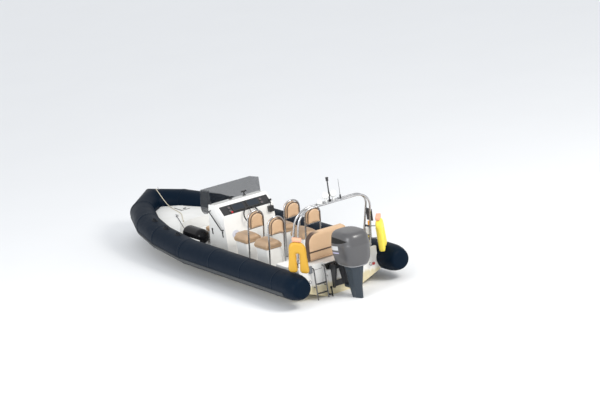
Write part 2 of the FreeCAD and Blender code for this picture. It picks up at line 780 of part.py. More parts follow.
def seats():
    hoop = seat_hoop_shape()
    floor = dim("sole_height")
    room = dim("console_aft") - dim("standing_room") - dim("seat_aft")
    rows = 1 + int(room // dim("seat_pitch"))
    number = 0
    for row in reversed(range(rows)):
        for side in (1, -1):
            number += 1
            x = f"Dims.seat_aft + {row} * Dims.seat_pitch"
            y = f"{side} * Dims.seat_spread"
            z = "Dims.sole_height"
            pod = padded(f"pod_{number}", "XZ_Plane", POD_OUTLINE, "Dims.pod_wide")
            rounded(pod, "35", lambda a, b: abs(a.z - b.z) > 300)
            put(pod, x, y, z)
            keep(pod, f"seat_pod_{number}")
            cushion = DOC.addObject("PartDesign::Body", f"cushion_{number}")
            pad = cushion.newObject("PartDesign::Pad", f"cushion_{number}_pad")
            pad.Profile = outline(cushion, f"cushion_{number}_outline", "YZ_Plane", CUSHION_OUTLINE)
            bind(pad, Length="Dims.pod_long + 40")
            DOC.recompute()
            rounded(cushion, "50", lambda a, b: min(a.z, b.z) > dim("pod_high") + 120 and abs(a.x - b.x) > 100)
            put(cushion, f"{x} + 25", y, z)
            keep(cushion, f"seat_cushion_{number}")
            feature(f"seat_hoop_{number}", hoop.copy(), (value(x), value(y), floor))
            back = seat_back(f"back_{number}")
            put(back, x, y, z, Rotation(Vector(0, 1, 0), -dim("seat_lean")))
            keep(back, f"seat_back_{number}")


# Aft bench: a full-width moulding, a seat cushion and a leaning back
BENCH_OUTLINE = (
    ("Dims.transom_thick + Dims.seating", "Dims.sole_height + Dims.seating"),
    ("Dims.transom_thick + Dims.seating", "Dims.bench_height"),
    ("900", "Dims.bench_height"),
    ("870", "Dims.sole_height + Dims.seating"),
)


def bench(space):
    body = padded("bench_block", "XZ_Plane", BENCH_OUTLINE, "1760")
    DOC.recompute()
    room = cavity()
    block = body.Shape.common(room.fuse(slab(60, 1000, 430, 700))).cut(space)
    inside = Part.makeBox(800, 1500, 600, Vector(50, -750, dim("bench_height") - 615))
    feature("bench_base", block.cut(inside).removeSplitter())
    cushion = (
        ("470", "Dims.bench_height + Dims.seating"),
        ("470", "Dims.bench_height + 110"),
        ("950", "Dims.bench_height + 110"),
        ("950", "Dims.bench_height + Dims.seating"),
    )
    seat = padded("bench_seat", "XZ_Plane", cushion, "2 * Dims.bench_half")
    rounded(seat, "30", lambda a, b: min(a.z, b.z) > dim("bench_height") + 90)
    keep(seat, "bench_cushion")
    back = (
        ("-Dims.bench_half", "0"),
        ("-Dims.bench_half", "610"),
        ("Dims.bench_half", "610"),
        ("Dims.bench_half", "0"),
    )
    rest = padded("bench_rest", "YZ_Plane", back, "110")
    rounded(rest, "100", lambda a, b: min(a.z, b.z) > 500 and abs(a.x - b.x) > 50)
    lift = "Dims.bench_height + Dims.seating + 55 * sin(5)"
    put(rest, "390", 0, lift, Rotation(Vector(0, 1, 0), -5))
    keep(rest, "bench_back")


# Horseshoe lifebuoys: thickness, height and the rounding of the edges
BUOY_THICK = 116
BUOY_HIGH = 660
BUOY_ROUND = 36
# Side, foot as if to port, turn about the upright and lean inboard
BUOYS = (
    ("port", 1, (-200, 1040, 688), 35, 13),
    ("stbd", -1, (-200, 950, 668), 48, 12),
)
# Heights of the two bars that hold a lifebuoy, and the bars' radius
CRADLE_BARS = (860, 1120)
CRADLE_RADIUS = 11
CRADLE_HALF = 150

# Arch: two hoops with legs splayed fore and aft
ARCH_BEND = 330
ARCH_LEAN = 25
# Foot and top of each hoop, fore and aft
ARCH_HOOPS = ((118, -170), (400, -70))


def arch_hoop(foot_x, top_x):
    top = dim("arch_top")
    foot = dim("bench_height") + dim("seating")
    wide = dim("arch_foot")
    high = wide - ARCH_LEAN
    points = [(foot_x, wide, foot), (top_x, high, top), (top_x, -high, top), (foot_x, -wide, foot)]
    return bent_tube(points, ARCH_BEND, dim("arch_tube"))


def arch_leg_point(z):
    """The middle of the aft port leg's tube at a height."""
    foot = Vector(ARCH_HOOPS[0][0], dim("arch_foot"), dim("bench_height"))
    head = Vector(ARCH_HOOPS[0][1], dim("arch_foot") - ARCH_LEAN, dim("arch_top"))
    return foot + (head - foot) * ((z - foot.z) / (head.z - foot.z))


def buoy_cradle(side, foot, turn):
    """Bars that stand off the aft leg and back the lifebuoy."""
    around = Rotation(Vector(0, 0, 1), -turn)
    outward = around.multVec(Vector(-1, 0, 0))
    along = around.multVec(Vector(0, 1, 0))
    reach = BUOY_THICK / 2 + CRADLE_RADIUS + dim("seating")
    bars = []
    for z in CRADLE_BARS:
        middle = Vector(foot[0], foot[1], z) - outward * reach
        leg = arch_leg_point(z)
        long = (middle - leg).dot(outward)
        bars.append(Part.makeCylinder(CRADLE_RADIUS, long, leg, outward))
        start = middle - along * CRADLE_HALF
        bars.append(Part.makeCylinder(CRADLE_RADIUS, 2 * CRADLE_HALF, start, along))
    return bars if side > 0 else [mirrored(bar) for bar in bars]


def arch():
    aft, fore = [arch_hoop(*hoop) for hoop in ARCH_HOOPS]
    top = dim("arch_top") + dim("arch_tube") - 2
    shape = aft.fuse(fore)
    for y, wide in ((300, 90), (70, 300), (-180, 70)):
        plate = Part.makeBox(160, wide, 6, Vector(-200, y - wide / 2, top))
        shape = shape.fuse(plate)
    floor = slab(-300, 900, 0, dim("bench_height") + dim("seating"))
    shape = shape.cut(floor)
    for x, _ in ARCH_HOOPS:
        for side in (1, -1):
            foot = Part.makeCylinder(48, 10, Vector(x, side * dim("arch_foot"), dim("bench_height") + 0.3))
            shape = shape.fuse(foot)
    for _, side, foot, turn, _ in BUOYS:
        shape = shape.multiFuse(buoy_cradle(side, foot, turn))
    feature("arch", shape.removeSplitter())


def arch_fittings():
    """Two dome lamps and a low aerial, the all-round light and a whip aerial."""
    top = dim("arch_top") + dim("arch_tube") + 4
    domes = []
    for y, radius in ((150, 70), (-20, 70)):
        ball = Part.makeSphere(radius, Vector(-120, y, top + 80 + radius * 0.6))
        base = Part.makeCylinder(22, 90, Vector(-120, y, top + 0.3))
        domes.append(ball.fuse(base).removeSplitter())
    puck = Part.makeCylinder(56, 30, Vector(-120, 300, top + 0.3))
    domes.append(puck.fuse(Part.makeCone(56, 30, 40, Vector(-120, 300, top + 30.3))).removeSplitter())
    feature("arch_domes", Part.makeCompound(domes))
    pole = primitive("Cylinder", "light_pole", Radius=13, Height=400)
    foot = primitive("Cylinder", "light_foot", Radius=26, Height=20)
    lens = primitive("Cylinder", "light_lens", Radius=26, Height=55)
    put(lens, 0, 0, 400)
    cap = primitive("Cylinder", "light_cap", Radius=30, Height=14)
    put(cap, 0, 0, 455)
    light = joined("MultiFuse", "light_solid", [foot, pole, lens, cap])
    put(light, -120, 65, top + 0.3)
    keep(light, "mast_light")
    base = primitive("Cylinder", "whip_base", Radius=16, Height=60)
    rod = primitive("Cone", "whip_rod", Radius1=5, Radius2=3, Height=380)
    whip = joined("MultiFuse", "whip_solid", [base, rod])
    put(whip, -120, -180, top + 0.3)
    keep(whip, "whip_aerial")


# Half of the horseshoe's outline from mid side: across, up, rounding
BUOY_OUTER = ((150, BUOY_HIGH, 138), (214, 0, 70))
BUOY_INNER = ((25, 0, 58), (38, 410, 36))


# Gear lashed between the starboard legs: side, heights above the bench of the board's two edges,
# the bag's foot and the light's foot, and the radii of bag and light
GEAR_SIDE = -844
BOARD_HEIGHTS = (60, 480)
BAG_FOOT = 95
LIGHT_FOOT = 210
BOARD_THICK = 20
BAG_RADIUS = 52
LIGHT_RADIUS = 26
LIGHT_LONG = 330


def arch_gear():
    """A board between the two legs with a rolled bag and a marker light on its outer side."""
    tops = dim("arch_top")
    foot = dim("bench_height")
    corners = []
    for height in BOARD_HEIGHTS:
        z = foot + height
        share = height / (tops - foot)
        pair = []
        for side, (start, end) in zip((1, -1), ARCH_HOOPS):
            slope = math.hypot(end - start, tops - foot) / (tops - foot)
            clear = (dim("arch_tube") + dim("seating")) * slope
            pair.append(Vector(start + (end - start) * share + side * clear, 0, z))
        corners += pair if height == BOARD_HEIGHTS[0] else pair[::-1]
    board = Part.Face(Part.makePolygon(corners + corners[:1])).extrude(Vector(0, -BOARD_THICK, 0))
    board.translate(Vector(0, GEAR_SIDE + BOARD_THICK / 2, 0))
    outer = GEAR_SIDE - BOARD_THICK / 2
    start, end = ARCH_HOOPS[1]
    fore_leg = Vector(end - start, 0, tops - foot)
    bag_foot = Vector(corners[1].x - BAG_RADIUS - 8, outer - BAG_RADIUS + 3, foot + BAG_FOOT)
    bag = Part.makeCylinder(BAG_RADIUS, 260, bag_foot, fore_leg)
    feature("arch_gear", board.fuse(bag).removeSplitter())
    light_x = corners[3].x + 82
    light_y = outer - LIGHT_RADIUS - dim("seating")
    light_foot = Vector(light_x, light_y, foot + LIGHT_FOOT)
    light = Part.makeCylinder(LIGHT_RADIUS, LIGHT_LONG, light_foot)
    light = light.fuse(Part.makeSphere(LIGHT_RADIUS, light_foot + Vector(0, 0, LIGHT_LONG)))
    feature("marker_light", light.removeSplitter())


def lifebuoy_shape():
    """A soft-edged horseshoe, open downwards."""
    right = BUOY_OUTER + BUOY_INNER
    corners = [(y, z, radius) for y, z, radius in right]
    corners += [(-y, z, radius) for y, z, radius in reversed(right)]
    start = Vector(0, 0, BUOY_HIGH)
    points = [start] + [Vector(0, y, z) for y, z, _ in corners] + [start]
    ring = bent_path(points, [radius for _, _, radius in corners])
    solid = Part.Face(ring).extrude(Vector(BUOY_THICK, 0, 0))
    solid.translate(Vector(-BUOY_THICK / 2, 0, 0))
    flat = [edge for edge in solid.Edges if abs(edge.BoundBox.XLength) < 0.01]
    return solid.makeFillet(BUOY_ROUND, flat)


def lifebuoys():
    soft = lifebuoy_shape()
    floats = []
    for name, side, (x, y, z), turn, lean in BUOYS:
        around = Rotation(Vector(0, 0, 1), -turn * side).multiply(Rotation(Vector(1, 0, 0), lean * side))
        feature(f"lifebuoy_{name}", soft.copy(), (x, side * y, z), around)
        block = Part.makeBox(96, 180, 80, Vector(-48, -90, BUOY_HIGH + dim("seating")))
        block.Placement = FreeCAD.Placement(Vector(x, side * y, z), around)
        floats.append(block)
    feature("lifebuoy_floats", Part.makeCompound(floats))


def ladder():
    """A fixed boarding ladder on the transom, port of the engine."""
    rails = []
    for y in (370, 610):
        points = [(-0.3, y, 640), (-80, y, 640), (-86, y, 300), (-105, y, -110)]
        rails.append(bent_tube(points, 40, 13))
    shape = rails[0].fuse(rails[1])
    for x, z in ((-86, 320), (-93, 130), (-103, -60)):
        shape = shape.fuse(Part.makeCylinder(12, 240, Vector(x, 370, z), Vector(0, 1, 0)))
    stay = Part.makeCylinder(10, 90, Vector(-0.3, 370, 250), Vector(-1, 0, 0))
    shape = shape.fuse(stay)
    stay.translate(Vector(0, 240, 0))
    shape = shape.fuse(stay)
    feature("ladder", shape.removeSplitter())


# Engine: bracket on the transom, swivel bracket, leg, gearcase, propeller, cowl
BRACKET_OUTLINE = (
    ("-Dims.seating", "130"),
    ("-Dims.seating", "Dims.transom_cut + Dims.seating"),
    ("Dims.transom_thick + 25", "Dims.transom_cut + Dims.seating"),
    ("Dims.transom_thick + 25", "Dims.transom_cut + 60"),
    ("-60", "Dims.tilt_z + 75"),
    ("Dims.tilt_x - 40", "Dims.tilt_z + 45"),
    ("Dims.tilt_x - 50", "Dims.tilt_z - 40"),
    ("-90", "200"),
    ("-40", "130"),
)


def clamp_bracket():
    cheeks = []
    for side in (1, -1):
        cheek = padded(f"cheek_{side + 1}", "XZ_Plane", BRACKET_OUTLINE, "34")
        put(cheek, 0, 175 * side, 0)
        cheeks.append(cheek)
    pin = primitive("Cylinder", "tilt_pin", Radius="Dims.tilt_pin", Height=384)
    put(pin, "Dims.tilt_x", 192, "Dims.tilt_z", Rotation(Vector(1, 0, 0), 90))
    web = primitive("Box", "bracket_web", Length=30, Width=350, Height=110)
    put(web, "-30 - Dims.seating", -175, 150)
    keep(joined("MultiFuse", "clamp_solid", cheeks + [pin, web]), "clamp_bracket")


def swivel_bracket():
    outline_points = (
        ("Dims.tilt_x + 34", "Dims.tilt_z - 36"),
        ("Dims.tilt_x + 36", "Dims.tilt_z + 20"),
        ("Dims.tilt_x + 10", "Dims.tilt_z + 48"),
        ("Dims.steer_x - 45", "Dims.tilt_z + 48"),
        ("Dims.steer_x - 45", "215"),
        ("Dims.steer_x + 40", "215"),
        ("Dims.steer_x + 70", "300"),
    )
    body = padded("swivel", "XZ_Plane", outline_points, "130")
    barrel = primitive("Cylinder", "swivel_barrel", Radius=36, Height=300)
    put(barrel, "Dims.tilt_x", 150, "Dims.tilt_z", Rotation(Vector(1, 0, 0), 90))
    whole = joined("MultiFuse", "swivel_whole", [body, barrel])
    eye = primitive("Cylinder", "tilt_eye", Radius="Dims.tilt_pin + Dims.running_fit", Height=400)
    put(eye, "Dims.tilt_x", 200, "Dims.tilt_z", Rotation(Vector(1, 0, 0), 90))
    bore = primitive("Cylinder", "steer_bore", Radius="Dims.steer_pin + Dims.running_fit", Height=600)
    put(bore, "Dims.steer_x", 0, 100)
    holes = joined("MultiFuse", "swivel_holes", [eye, bore])
    keep(cut("swivel_cut", whole, holes), "swivel_bracket")


LEG_SECTIONS = (
    # z, front x, aft x, half width
    (669.7, -340, -880, 175),
    (540, -350, -850, 140),
    (240, -380, -770, 105),
    (-95, -440, -750, 70),
)


def streamlined(front, aft, half, z):
    """A rounded wedge: blunt in front, fine aft."""
    long = front - aft
    corners = (
        (front, 0.0), (front - long * 0.08, half * 0.62), (front - long * 0.3, half),
        (front - long * 0.68, half * 0.82), (aft, half * 0.22),
    )
    ring = [Vector(x, y, z) for x, y in corners]
    ring += [Vector(x, -y, z) for x, y in reversed(corners[1:])]
    return Part.makePolygon(ring + ring[:1])


def midsection():
    """The exhaust housing and the yoke that carries it on the steering pin."""
    wires = [streamlined(front, aft, half, z) for z, front, aft, half in LEG_SECTIONS]
    leg = Part.makeLoft(wires, True, True)
    x = dim("steer_x")
    pin = Part.makeCylinder(dim("steer_pin"), 520, Vector(x, 0, 150))
    upper = Part.makeBox(160, 120, 46, Vector(x - 160, -60, dim("tilt_z") + 48 + 5))
    upper = upper.fuse(Part.makeCylinder(60, 46, Vector(x, 0, dim("tilt_z") + 48 + 5)))
    lower = Part.makeBox(190, 110, 50, Vector(x - 190, -55, 160))
    lower = lower.fuse(Part.makeCylinder(52, 50, Vector(x, 0, 160)))
    feature("midsection", leg.multiFuse([pin, upper, lower]).removeSplitter())


def gearcase():
    """The lower unit: anti-ventilation plate, strut, torpedo and skeg."""
    plate_corners = ((-410, 0), (-460, 70), (-590, 115), (-900, 130), (-930, 60))
    ring = [Vector(x, y, -110) for x, y in plate_corners]
    ring += [Vector(x, -y, -110) for x, y in reversed(plate_corners[1:])]
    plate = Part.Face(Part.makePolygon(ring + ring[:1])).extrude(Vector(0, 0, 14.7))
    strut = Part.makeLoft([
        streamlined(-450, -755, 66, -108), streamlined(-480, -780, 48, dim("prop_z") + 20),
    ], True, True)
    shaft_z = dim("prop_z")
    profile = ((-380, 0), (-400, 26), (-450, 48), (-530, 60), (-750, 58), (-805, 54), (-805, 0))
    ring = [Vector(x, 0, shaft_z + r) for x, r in profile]
    torpedo = Part.Face(Part.makePolygon(ring + ring[:1])).revolve(
        Vector(0, 0, shaft_z), Vector(1, 0, 0), 360)
    skeg_ring = [Vector(*point) for point in (
        (-500, -7, shaft_z - 40), (-750, -7, shaft_z - 40), (-800, -7, shaft_z - 185), (-710, -7, shaft_z - 185),
    )]
    skeg = Part.Face(Part.makePolygon(skeg_ring + skeg_ring[:1])).extrude(Vector(0, 14, 0))
    shaft = Part.makeCylinder(dim("shaft_radius"), 150, Vector(-795, 0, shaft_z), Vector(-1, 0, 0))
    feature("gearcase", plate.multiFuse([strut, torpedo, skeg, shaft]).removeSplitter())


def propeller():
    """Three raked blades on a hub."""
    x = dim("prop_x")
    z = dim("prop_z")
    hub = Part.makeCone(52, 46, 110, Vector(55, 0, 0), Vector(-1, 0, 0))
    blades = []
    for index in range(3):
        wires = []
        for radius, chord, pitch in ((40, 90, 62), (100, 135, 42), (150, 130, 32), (dim("prop_radius"), 50, 26)):
            half = chord / 2
            thick = 9 - 6 * radius / dim("prop_radius")
            lean = math.radians(pitch)
            ring = []
            for along, out in ((-half, 0), (0, thick), (half, 0), (0, -thick)):
                ring.append(Vector(
                    along * math.sin(lean) - out * math.cos(lean),
                    along * math.cos(lean) + out * math.sin(lean),
                    radius,
                ))
            wires.append(Part.makePolygon(ring + ring[:1]))
        blade = Part.makeLoft(wires, True, True)
        blade.rotate(Vector(0, 0, 0), Vector(1, 0, 0), 120 * index)
        blades.append(blade)
    shape = hub.multiFuse(blades)
    bore = Part.makeCylinder(dim("shaft_radius") + dim("running_fit"), 200, Vector(100, 0, 0), Vector(-1, 0, 0))
    feature("propeller", shape.cut(bore).removeSplitter(), (x, 0, z))


COWL_SECTIONS = (
    # z, front x, aft x, half width
    (670, -190, -890, 220),
    (800, -160, -950, 290),
    (1130, -170, -970, 305),
    (1270, -200, -950, 290),
    (1360, -310, -860, 215),
)


def cowl_section(z, front, aft, half, wall):
    front -= wall
    aft += wall
    half -= wall
    corners = (
        (front, half * 0.45), (front - 90, half * 0.88), (front - 220, half),
        (aft + 240, half * 0.92), (aft + 70, half * 0.66), (aft, half * 0.30),
    )
    ring = [Vector(x, y, z) for x, y in corners]
    ring += [Vector(x, -y, z) for x, y in reversed(corners)]
    return Part.makePolygon(ring + ring[:1])


def cowl():
    outer = Part.makeLoft([cowl_section(*row, 0) for row in COWL_SECTIONS], True, True)
    rows = [list(row) for row in COWL_SECTIONS]
    rows[0][0] += 10
    rows[-1][0] -= 12
    inner = Part.makeLoft([cowl_section(*row, 9) for row in rows], True, True)
    feature("cowl", outer.cut(inner).removeSplitter())
    block = primitive("Box", "engine_block", Length=410, Width=330, Height=500)
    put(block, -690, -165, "680 + Dims.seating")
    keep(block, "powerhead")


def trim_tabs():
    plates = []
    for side in (1, -1):
        rise = math.degrees(math.atan2(372, 940))
        plate = Part.makeBox(270, 250, 8, Vector(-275, 110, 0))
        plate = plate.fuse(Part.makeBox(6, 250, 60, Vector(-6.3, 110, 0)))
        ram = Part.makeCylinder(14, 212, Vector(-14, 322, 180), Vector(-120, 0, -180))
        ram = ram.fuse(Part.makeBox(16, 40, 40, Vector(-16.3, 305, 165)))
        shape = plate.fuse(ram)
        shape.rotate(Vector(0, 0, 0), Vector(1, 0, 0), rise)
        shape.translate(Vector(0, 0, -140))
        plates.append(shape if side == 1 else mirrored(shape))
    feature("trim_tabs", Part.makeCompound(plates))


EYE_RADIUS = 32
EYE_BAR = 8
# Bow eye, just clear of the stem's slope
BOW_EYE_AHEAD = 3211.3
BOW_EYE_HIGH = 223.7
TOWING_EYES = ((-40.3, 700, 380), (-40.3, -700, 380))


# Patch and eye on top of the bow tube, starboard of the nose, and the cleat on the foredeck
PATCH_AFT = 135
PATCH_RADIUS = 30
PATCH_THICK = 6
PATCH_EYE = 20
CLEAT_PLACE = (2150, 190)


def bow_patch():
    """A disc with an eye, square to the surface on top of the bow tube."""
    tip, nose = collar_points()[-2:]
    along = Vector(nose.x - tip.x, tip.y, nose.z - tip.z).normalize()
    up = (Vector(0, 0, 1) - along * along.z).normalize()
    foot = nose - along * PATCH_AFT + up * (dim("collar_radius") + dim("seating"))
    disc = Part.makeCylinder(PATCH_RADIUS, PATCH_THICK, foot, up)
    eye = Part.makeTorus(PATCH_EYE, 5, foot + up * (PATCH_THICK + PATCH_EYE + 2), Vector(0.45, 1, 0))
    return disc.fuse(eye).removeSplitter()


def deck_cleat():
    """A horn cleat that runs fore and aft."""
    x, y = deck_start() + CLEAT_PLACE[0], CLEAT_PLACE[1]
    z = dim("foredeck_height") + dim("seating")
    base = Part.makeBox(70, 26, 6, Vector(x - 35, y - 13, z))
    for side in (-22, 22):
        base = base.fuse(Part.makeCylinder(7, 34, Vector(x + side, y, z)))
    return base.fuse(Part.makeCylinder(7, 130, Vector(x - 65, y, z + 36), Vector(1, 0, 0))).removeSplitter()


def boat_eyes():
    """The bow eye on the stem, the towing eyes on the transom, the bow tube's eye and the cleat."""
    eyes = []
    bow_eye = (dim("bow_start") + BOW_EYE_AHEAD, 0, BOW_EYE_HIGH)
    for place in (bow_eye, *TOWING_EYES):
        eyes.append(Part.makeTorus(EYE_RADIUS, EYE_BAR, Vector(*place), Vector(0, 1, 0)))
    feature("boat_eyes", Part.makeCompound(eyes + [bow_patch(), deck_cleat()]))


# Cords: corners of the painter from the eye on the bow tube to its knot on the deck, and of the
# fender's lanyard from the deck cleat to the eye on the fender
PAINTER_RADIUS = 8
PAINTER = (
    (7452, -66, 948), (7376, -50, 924), (7284, -42, 876), (7195, -48, 797), (7125, -77, 700),
    (7064, -109, 623), (6960, -98, 608.3), (6800, -62, 608.3), (6620, -32, 608.3), (6440, -6, 608.3),
    (6262, 30, 608.3), (6092, 106, 608.3), (5925, 190, 608.3), (5765, 268, 608.3), (5625, 332, 608.3),
)
LANYARD_RADIUS = 6
LANYARD = (
    (6170, 206, 612.6), (6010, 250, 606.4), (5850, 314, 606.4), (5690, 373, 606.4), (5570, 424, 606.8),
    (5450, 468, 611), (5330, 508, 591), (5225, 541, 563), (5130, 567, 548.5), (5067.5, 586.5, 545.3),
)
KNOT_RADIUS = 17


def cord_body(name, points, radius):
    """A cord of straight runs whose arcs take up 0.45 of the shorter run at each corner."""
    corners = [Vector(*point) for point in points]
    radii = []
    for before, corner, after in zip(corners, corners[1:], corners[2:]):
        turn = (corner - before).getAngle(after - corner)
        short = min((corner - before).Length, (after - corner).Length)
        radii.append(0.45 * short / math.tan(turn / 2))
    print(name, "bend radii", [round(value) for value in radii])
    wire = bent_path(corners, radii)
    body = tube(wire, radius)
    share = body.Volume / (math.pi * radius ** 2 * wire.Length)
    print(name, "length", round(wire.Length), "volume share", round(share, 4))
    return body


def cords():
    painter = cord_body("painter", PAINTER, PAINTER_RADIUS)
    knot = Part.makeSphere(KNOT_RADIUS, Vector(*PAINTER[-1][:2], dim("foredeck_height") + KNOT_RADIUS + 0.3))
    feature("painter", painter.fuse(knot).removeSplitter())
    feature("fender_cord", cord_body("fender_cord", LANYARD, LANYARD_RADIUS))


# Fender's distance to port
FENDER_SIDE = 592


def fender():
    radius = "Dims.fender_radius"
    barrel = primitive("Cylinder", "fender_barrel", Radius=radius, Height=f"Dims.fender_long - 2 * {radius}")
    put(barrel, 0, 0, radius)
    low = primitive("Sphere", "fender_low", Radius=radius)
    put(low, 0, 0, radius)
    high = primitive("Sphere", "fender_high", Radius=radius)
    put(high, 0, 0, f"Dims.fender_long - {radius}")
    eye = primitive("Torus", "fender_eye", Radius1=13, Radius2=5)
    put(eye, 0, 0, "Dims.fender_long + 13 - 3", Rotation(Vector(0, 1, 0), 90))
    whole = joined("MultiFuse", "fender_solid", [barrel, low, high, eye])
    put(whole, f"Dims.console_aft + {FENDER_AHEAD}", FENDER_SIDE,
        "Dims.step_height + Dims.fender_radius + Dims.seating", Rotation(Vector(0, 1, 0), 90))
    keep(whole, "fender")


def check_and_write():
    """Every object computed, every sub-part valid, then one file each."""
    DOC.recompute()
    failed = [thing.Label for thing in DOC.Objects if {"Invalid", "Error"} & set(thing.State)]
    failed += [thing.Label for thing in NODES if thing.Shape.isNull() or not thing.Shape.isValid()]
    if failed:
        raise RuntimeError(f"failed: {failed}")
    os.makedirs("parts", exist_ok=True)
    for thing in NODES:
        thing.Shape.exportStep(f"parts/{thing.Label}.step")


def main():
    space = collar_space()
    collar()
    hull(space)
    sole(space)
    foredeck(space)
    locker_lid()
    console()
    dash_panel()
    windscreen()
    helm()
    throttle()
    console_rails()
    console_seat(space)
    seats()
    bench(space)
    arch()
    arch_fittings()
    lifebuoys()
    ladder()
    clamp_bracket()
    swivel_bracket()
    midsection()
    gearcase()
    propeller()
    cowl()
    trim_tabs()
    boat_eyes()
    fender()
    cords()
    arch_gear()
    rub_strakes()
    check_and_write()


main()
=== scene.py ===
import json
import math

import bmesh
import bpy
from bpy.props import FloatProperty, FloatVectorProperty, IntProperty, PointerProperty
from bpy.types import Operator, Panel, PropertyGroup
from mathutils import Matrix, Vector


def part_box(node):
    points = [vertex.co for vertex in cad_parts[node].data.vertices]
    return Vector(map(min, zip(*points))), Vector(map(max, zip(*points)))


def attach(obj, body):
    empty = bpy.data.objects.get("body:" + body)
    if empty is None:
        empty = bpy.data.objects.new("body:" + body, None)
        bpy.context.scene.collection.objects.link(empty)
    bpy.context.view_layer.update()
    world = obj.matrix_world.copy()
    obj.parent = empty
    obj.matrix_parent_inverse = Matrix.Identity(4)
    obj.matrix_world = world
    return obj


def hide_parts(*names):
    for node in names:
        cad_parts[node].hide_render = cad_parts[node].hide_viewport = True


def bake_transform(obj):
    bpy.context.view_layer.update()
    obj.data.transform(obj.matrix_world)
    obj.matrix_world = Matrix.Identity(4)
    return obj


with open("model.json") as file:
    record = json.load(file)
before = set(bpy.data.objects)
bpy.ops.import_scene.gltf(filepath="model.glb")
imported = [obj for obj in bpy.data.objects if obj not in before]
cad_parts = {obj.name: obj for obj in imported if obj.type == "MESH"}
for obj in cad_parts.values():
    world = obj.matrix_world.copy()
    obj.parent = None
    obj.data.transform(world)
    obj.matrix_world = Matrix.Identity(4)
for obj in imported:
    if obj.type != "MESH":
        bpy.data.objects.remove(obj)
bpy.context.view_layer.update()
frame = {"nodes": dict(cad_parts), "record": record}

bl_info = {
    "name": "Rigid inflatable boat",
    "version": (1, 0, 0),
    "blender": (4, 5, 0),
    "location": "View3D > Sidebar > Boat",
    "description": "Dresses a rigid inflatable boat and lights it in a studio",
    "category": "Object",
}


# Marks on the engine's cowl. The vent: fore end, length, half height, middle height, rise aft and the
# pitch of its louvres
VENT_FORE = -0.33
VENT_LONG = 0.53
VENT_HALF = 0.060
VENT_LOW = 1.185
VENT_RISE = 0.03
VENT_PITCH = 420.0
# The panel: fore end, length, top, slope and depth, and the stripe's edges below its top
PANEL_FORE = -0.24
PANEL_LONG = 0.35
PANEL_TOP = 1.052
PANEL_SLOPE = 0.13
PANEL_DEEP = 0.085
STRIPE = (-0.150, -0.128)
# Half width past which the cowl is its side, and heights of the pale rim at its foot
COWL_SIDE = 0.14
COWL_RIM = (0.684, 0.698)


# The bench's back: thickness, height, lean, rounding of its port and starboard top corners, height of
# its seam, and width of the dark bolster at its port end
REST_THICK = 0.110
REST_HIGH = 0.610
REST_LEAN = math.radians(5)
REST_ROUND = (0.240, 0.110)
REST_SEAM = 0.205
BOLSTER = 0.055
# Depth and height of the seam's tape
SEAM_DEEP = 0.034
SEAM_HIGH = 0.026


# Height of the hull's waterline stain, how far its edge wavers and how soft it is
STAIN_LINE = 0.30
STAIN_WAVER = 0.12
STAIN_SOFT = 0.07


# Shader maths


class Flow:
    """A value in a node tree. Reckoning with it adds Math nodes."""

    def __init__(self, tree, socket):
        self.tree = tree
        self.socket = socket

    def math(self, operation, *others, swap=False):
        node = self.tree.nodes.new("ShaderNodeMath")
        node.operation = operation
        terms = [self, *others]
        if swap:
            terms.reverse()
        for slot, term in zip(node.inputs, terms):
            if isinstance(term, Flow):
                self.tree.links.new(term.socket, slot)
            else:
                slot.default_value = term
        return Flow(self.tree, node.outputs[0])

    def __add__(self, other):
        return self.math("ADD", other)

    __radd__ = __add__

    def __sub__(self, other):
        return self.math("SUBTRACT", other)

    def __rsub__(self, other):
        return self.math("SUBTRACT", other, swap=True)

    def __mul__(self, other):
        return self.math("MULTIPLY", other)

    __rmul__ = __mul__

    def __truediv__(self, other):
        return self.math("DIVIDE", other)

    def __rtruediv__(self, other):
        return self.math("DIVIDE", other, swap=True)

    def __abs__(self):
        return self.math("ABSOLUTE")

    def above(self, edge, soft=0.001):
        """0 below an edge and 1 above it, with a soft step."""
        return ((self - (edge - soft)) / (2 * soft)).clamped()

    def below(self, edge, soft=0.001):
        return 1 - self.above(edge, soft)

    def within(self, low, high, soft=0.001):
        return self.above(low, soft) * self.below(high, soft)

    def clamped(self):
        return self.math("MAXIMUM", 0.0).math("MINIMUM", 1.0)


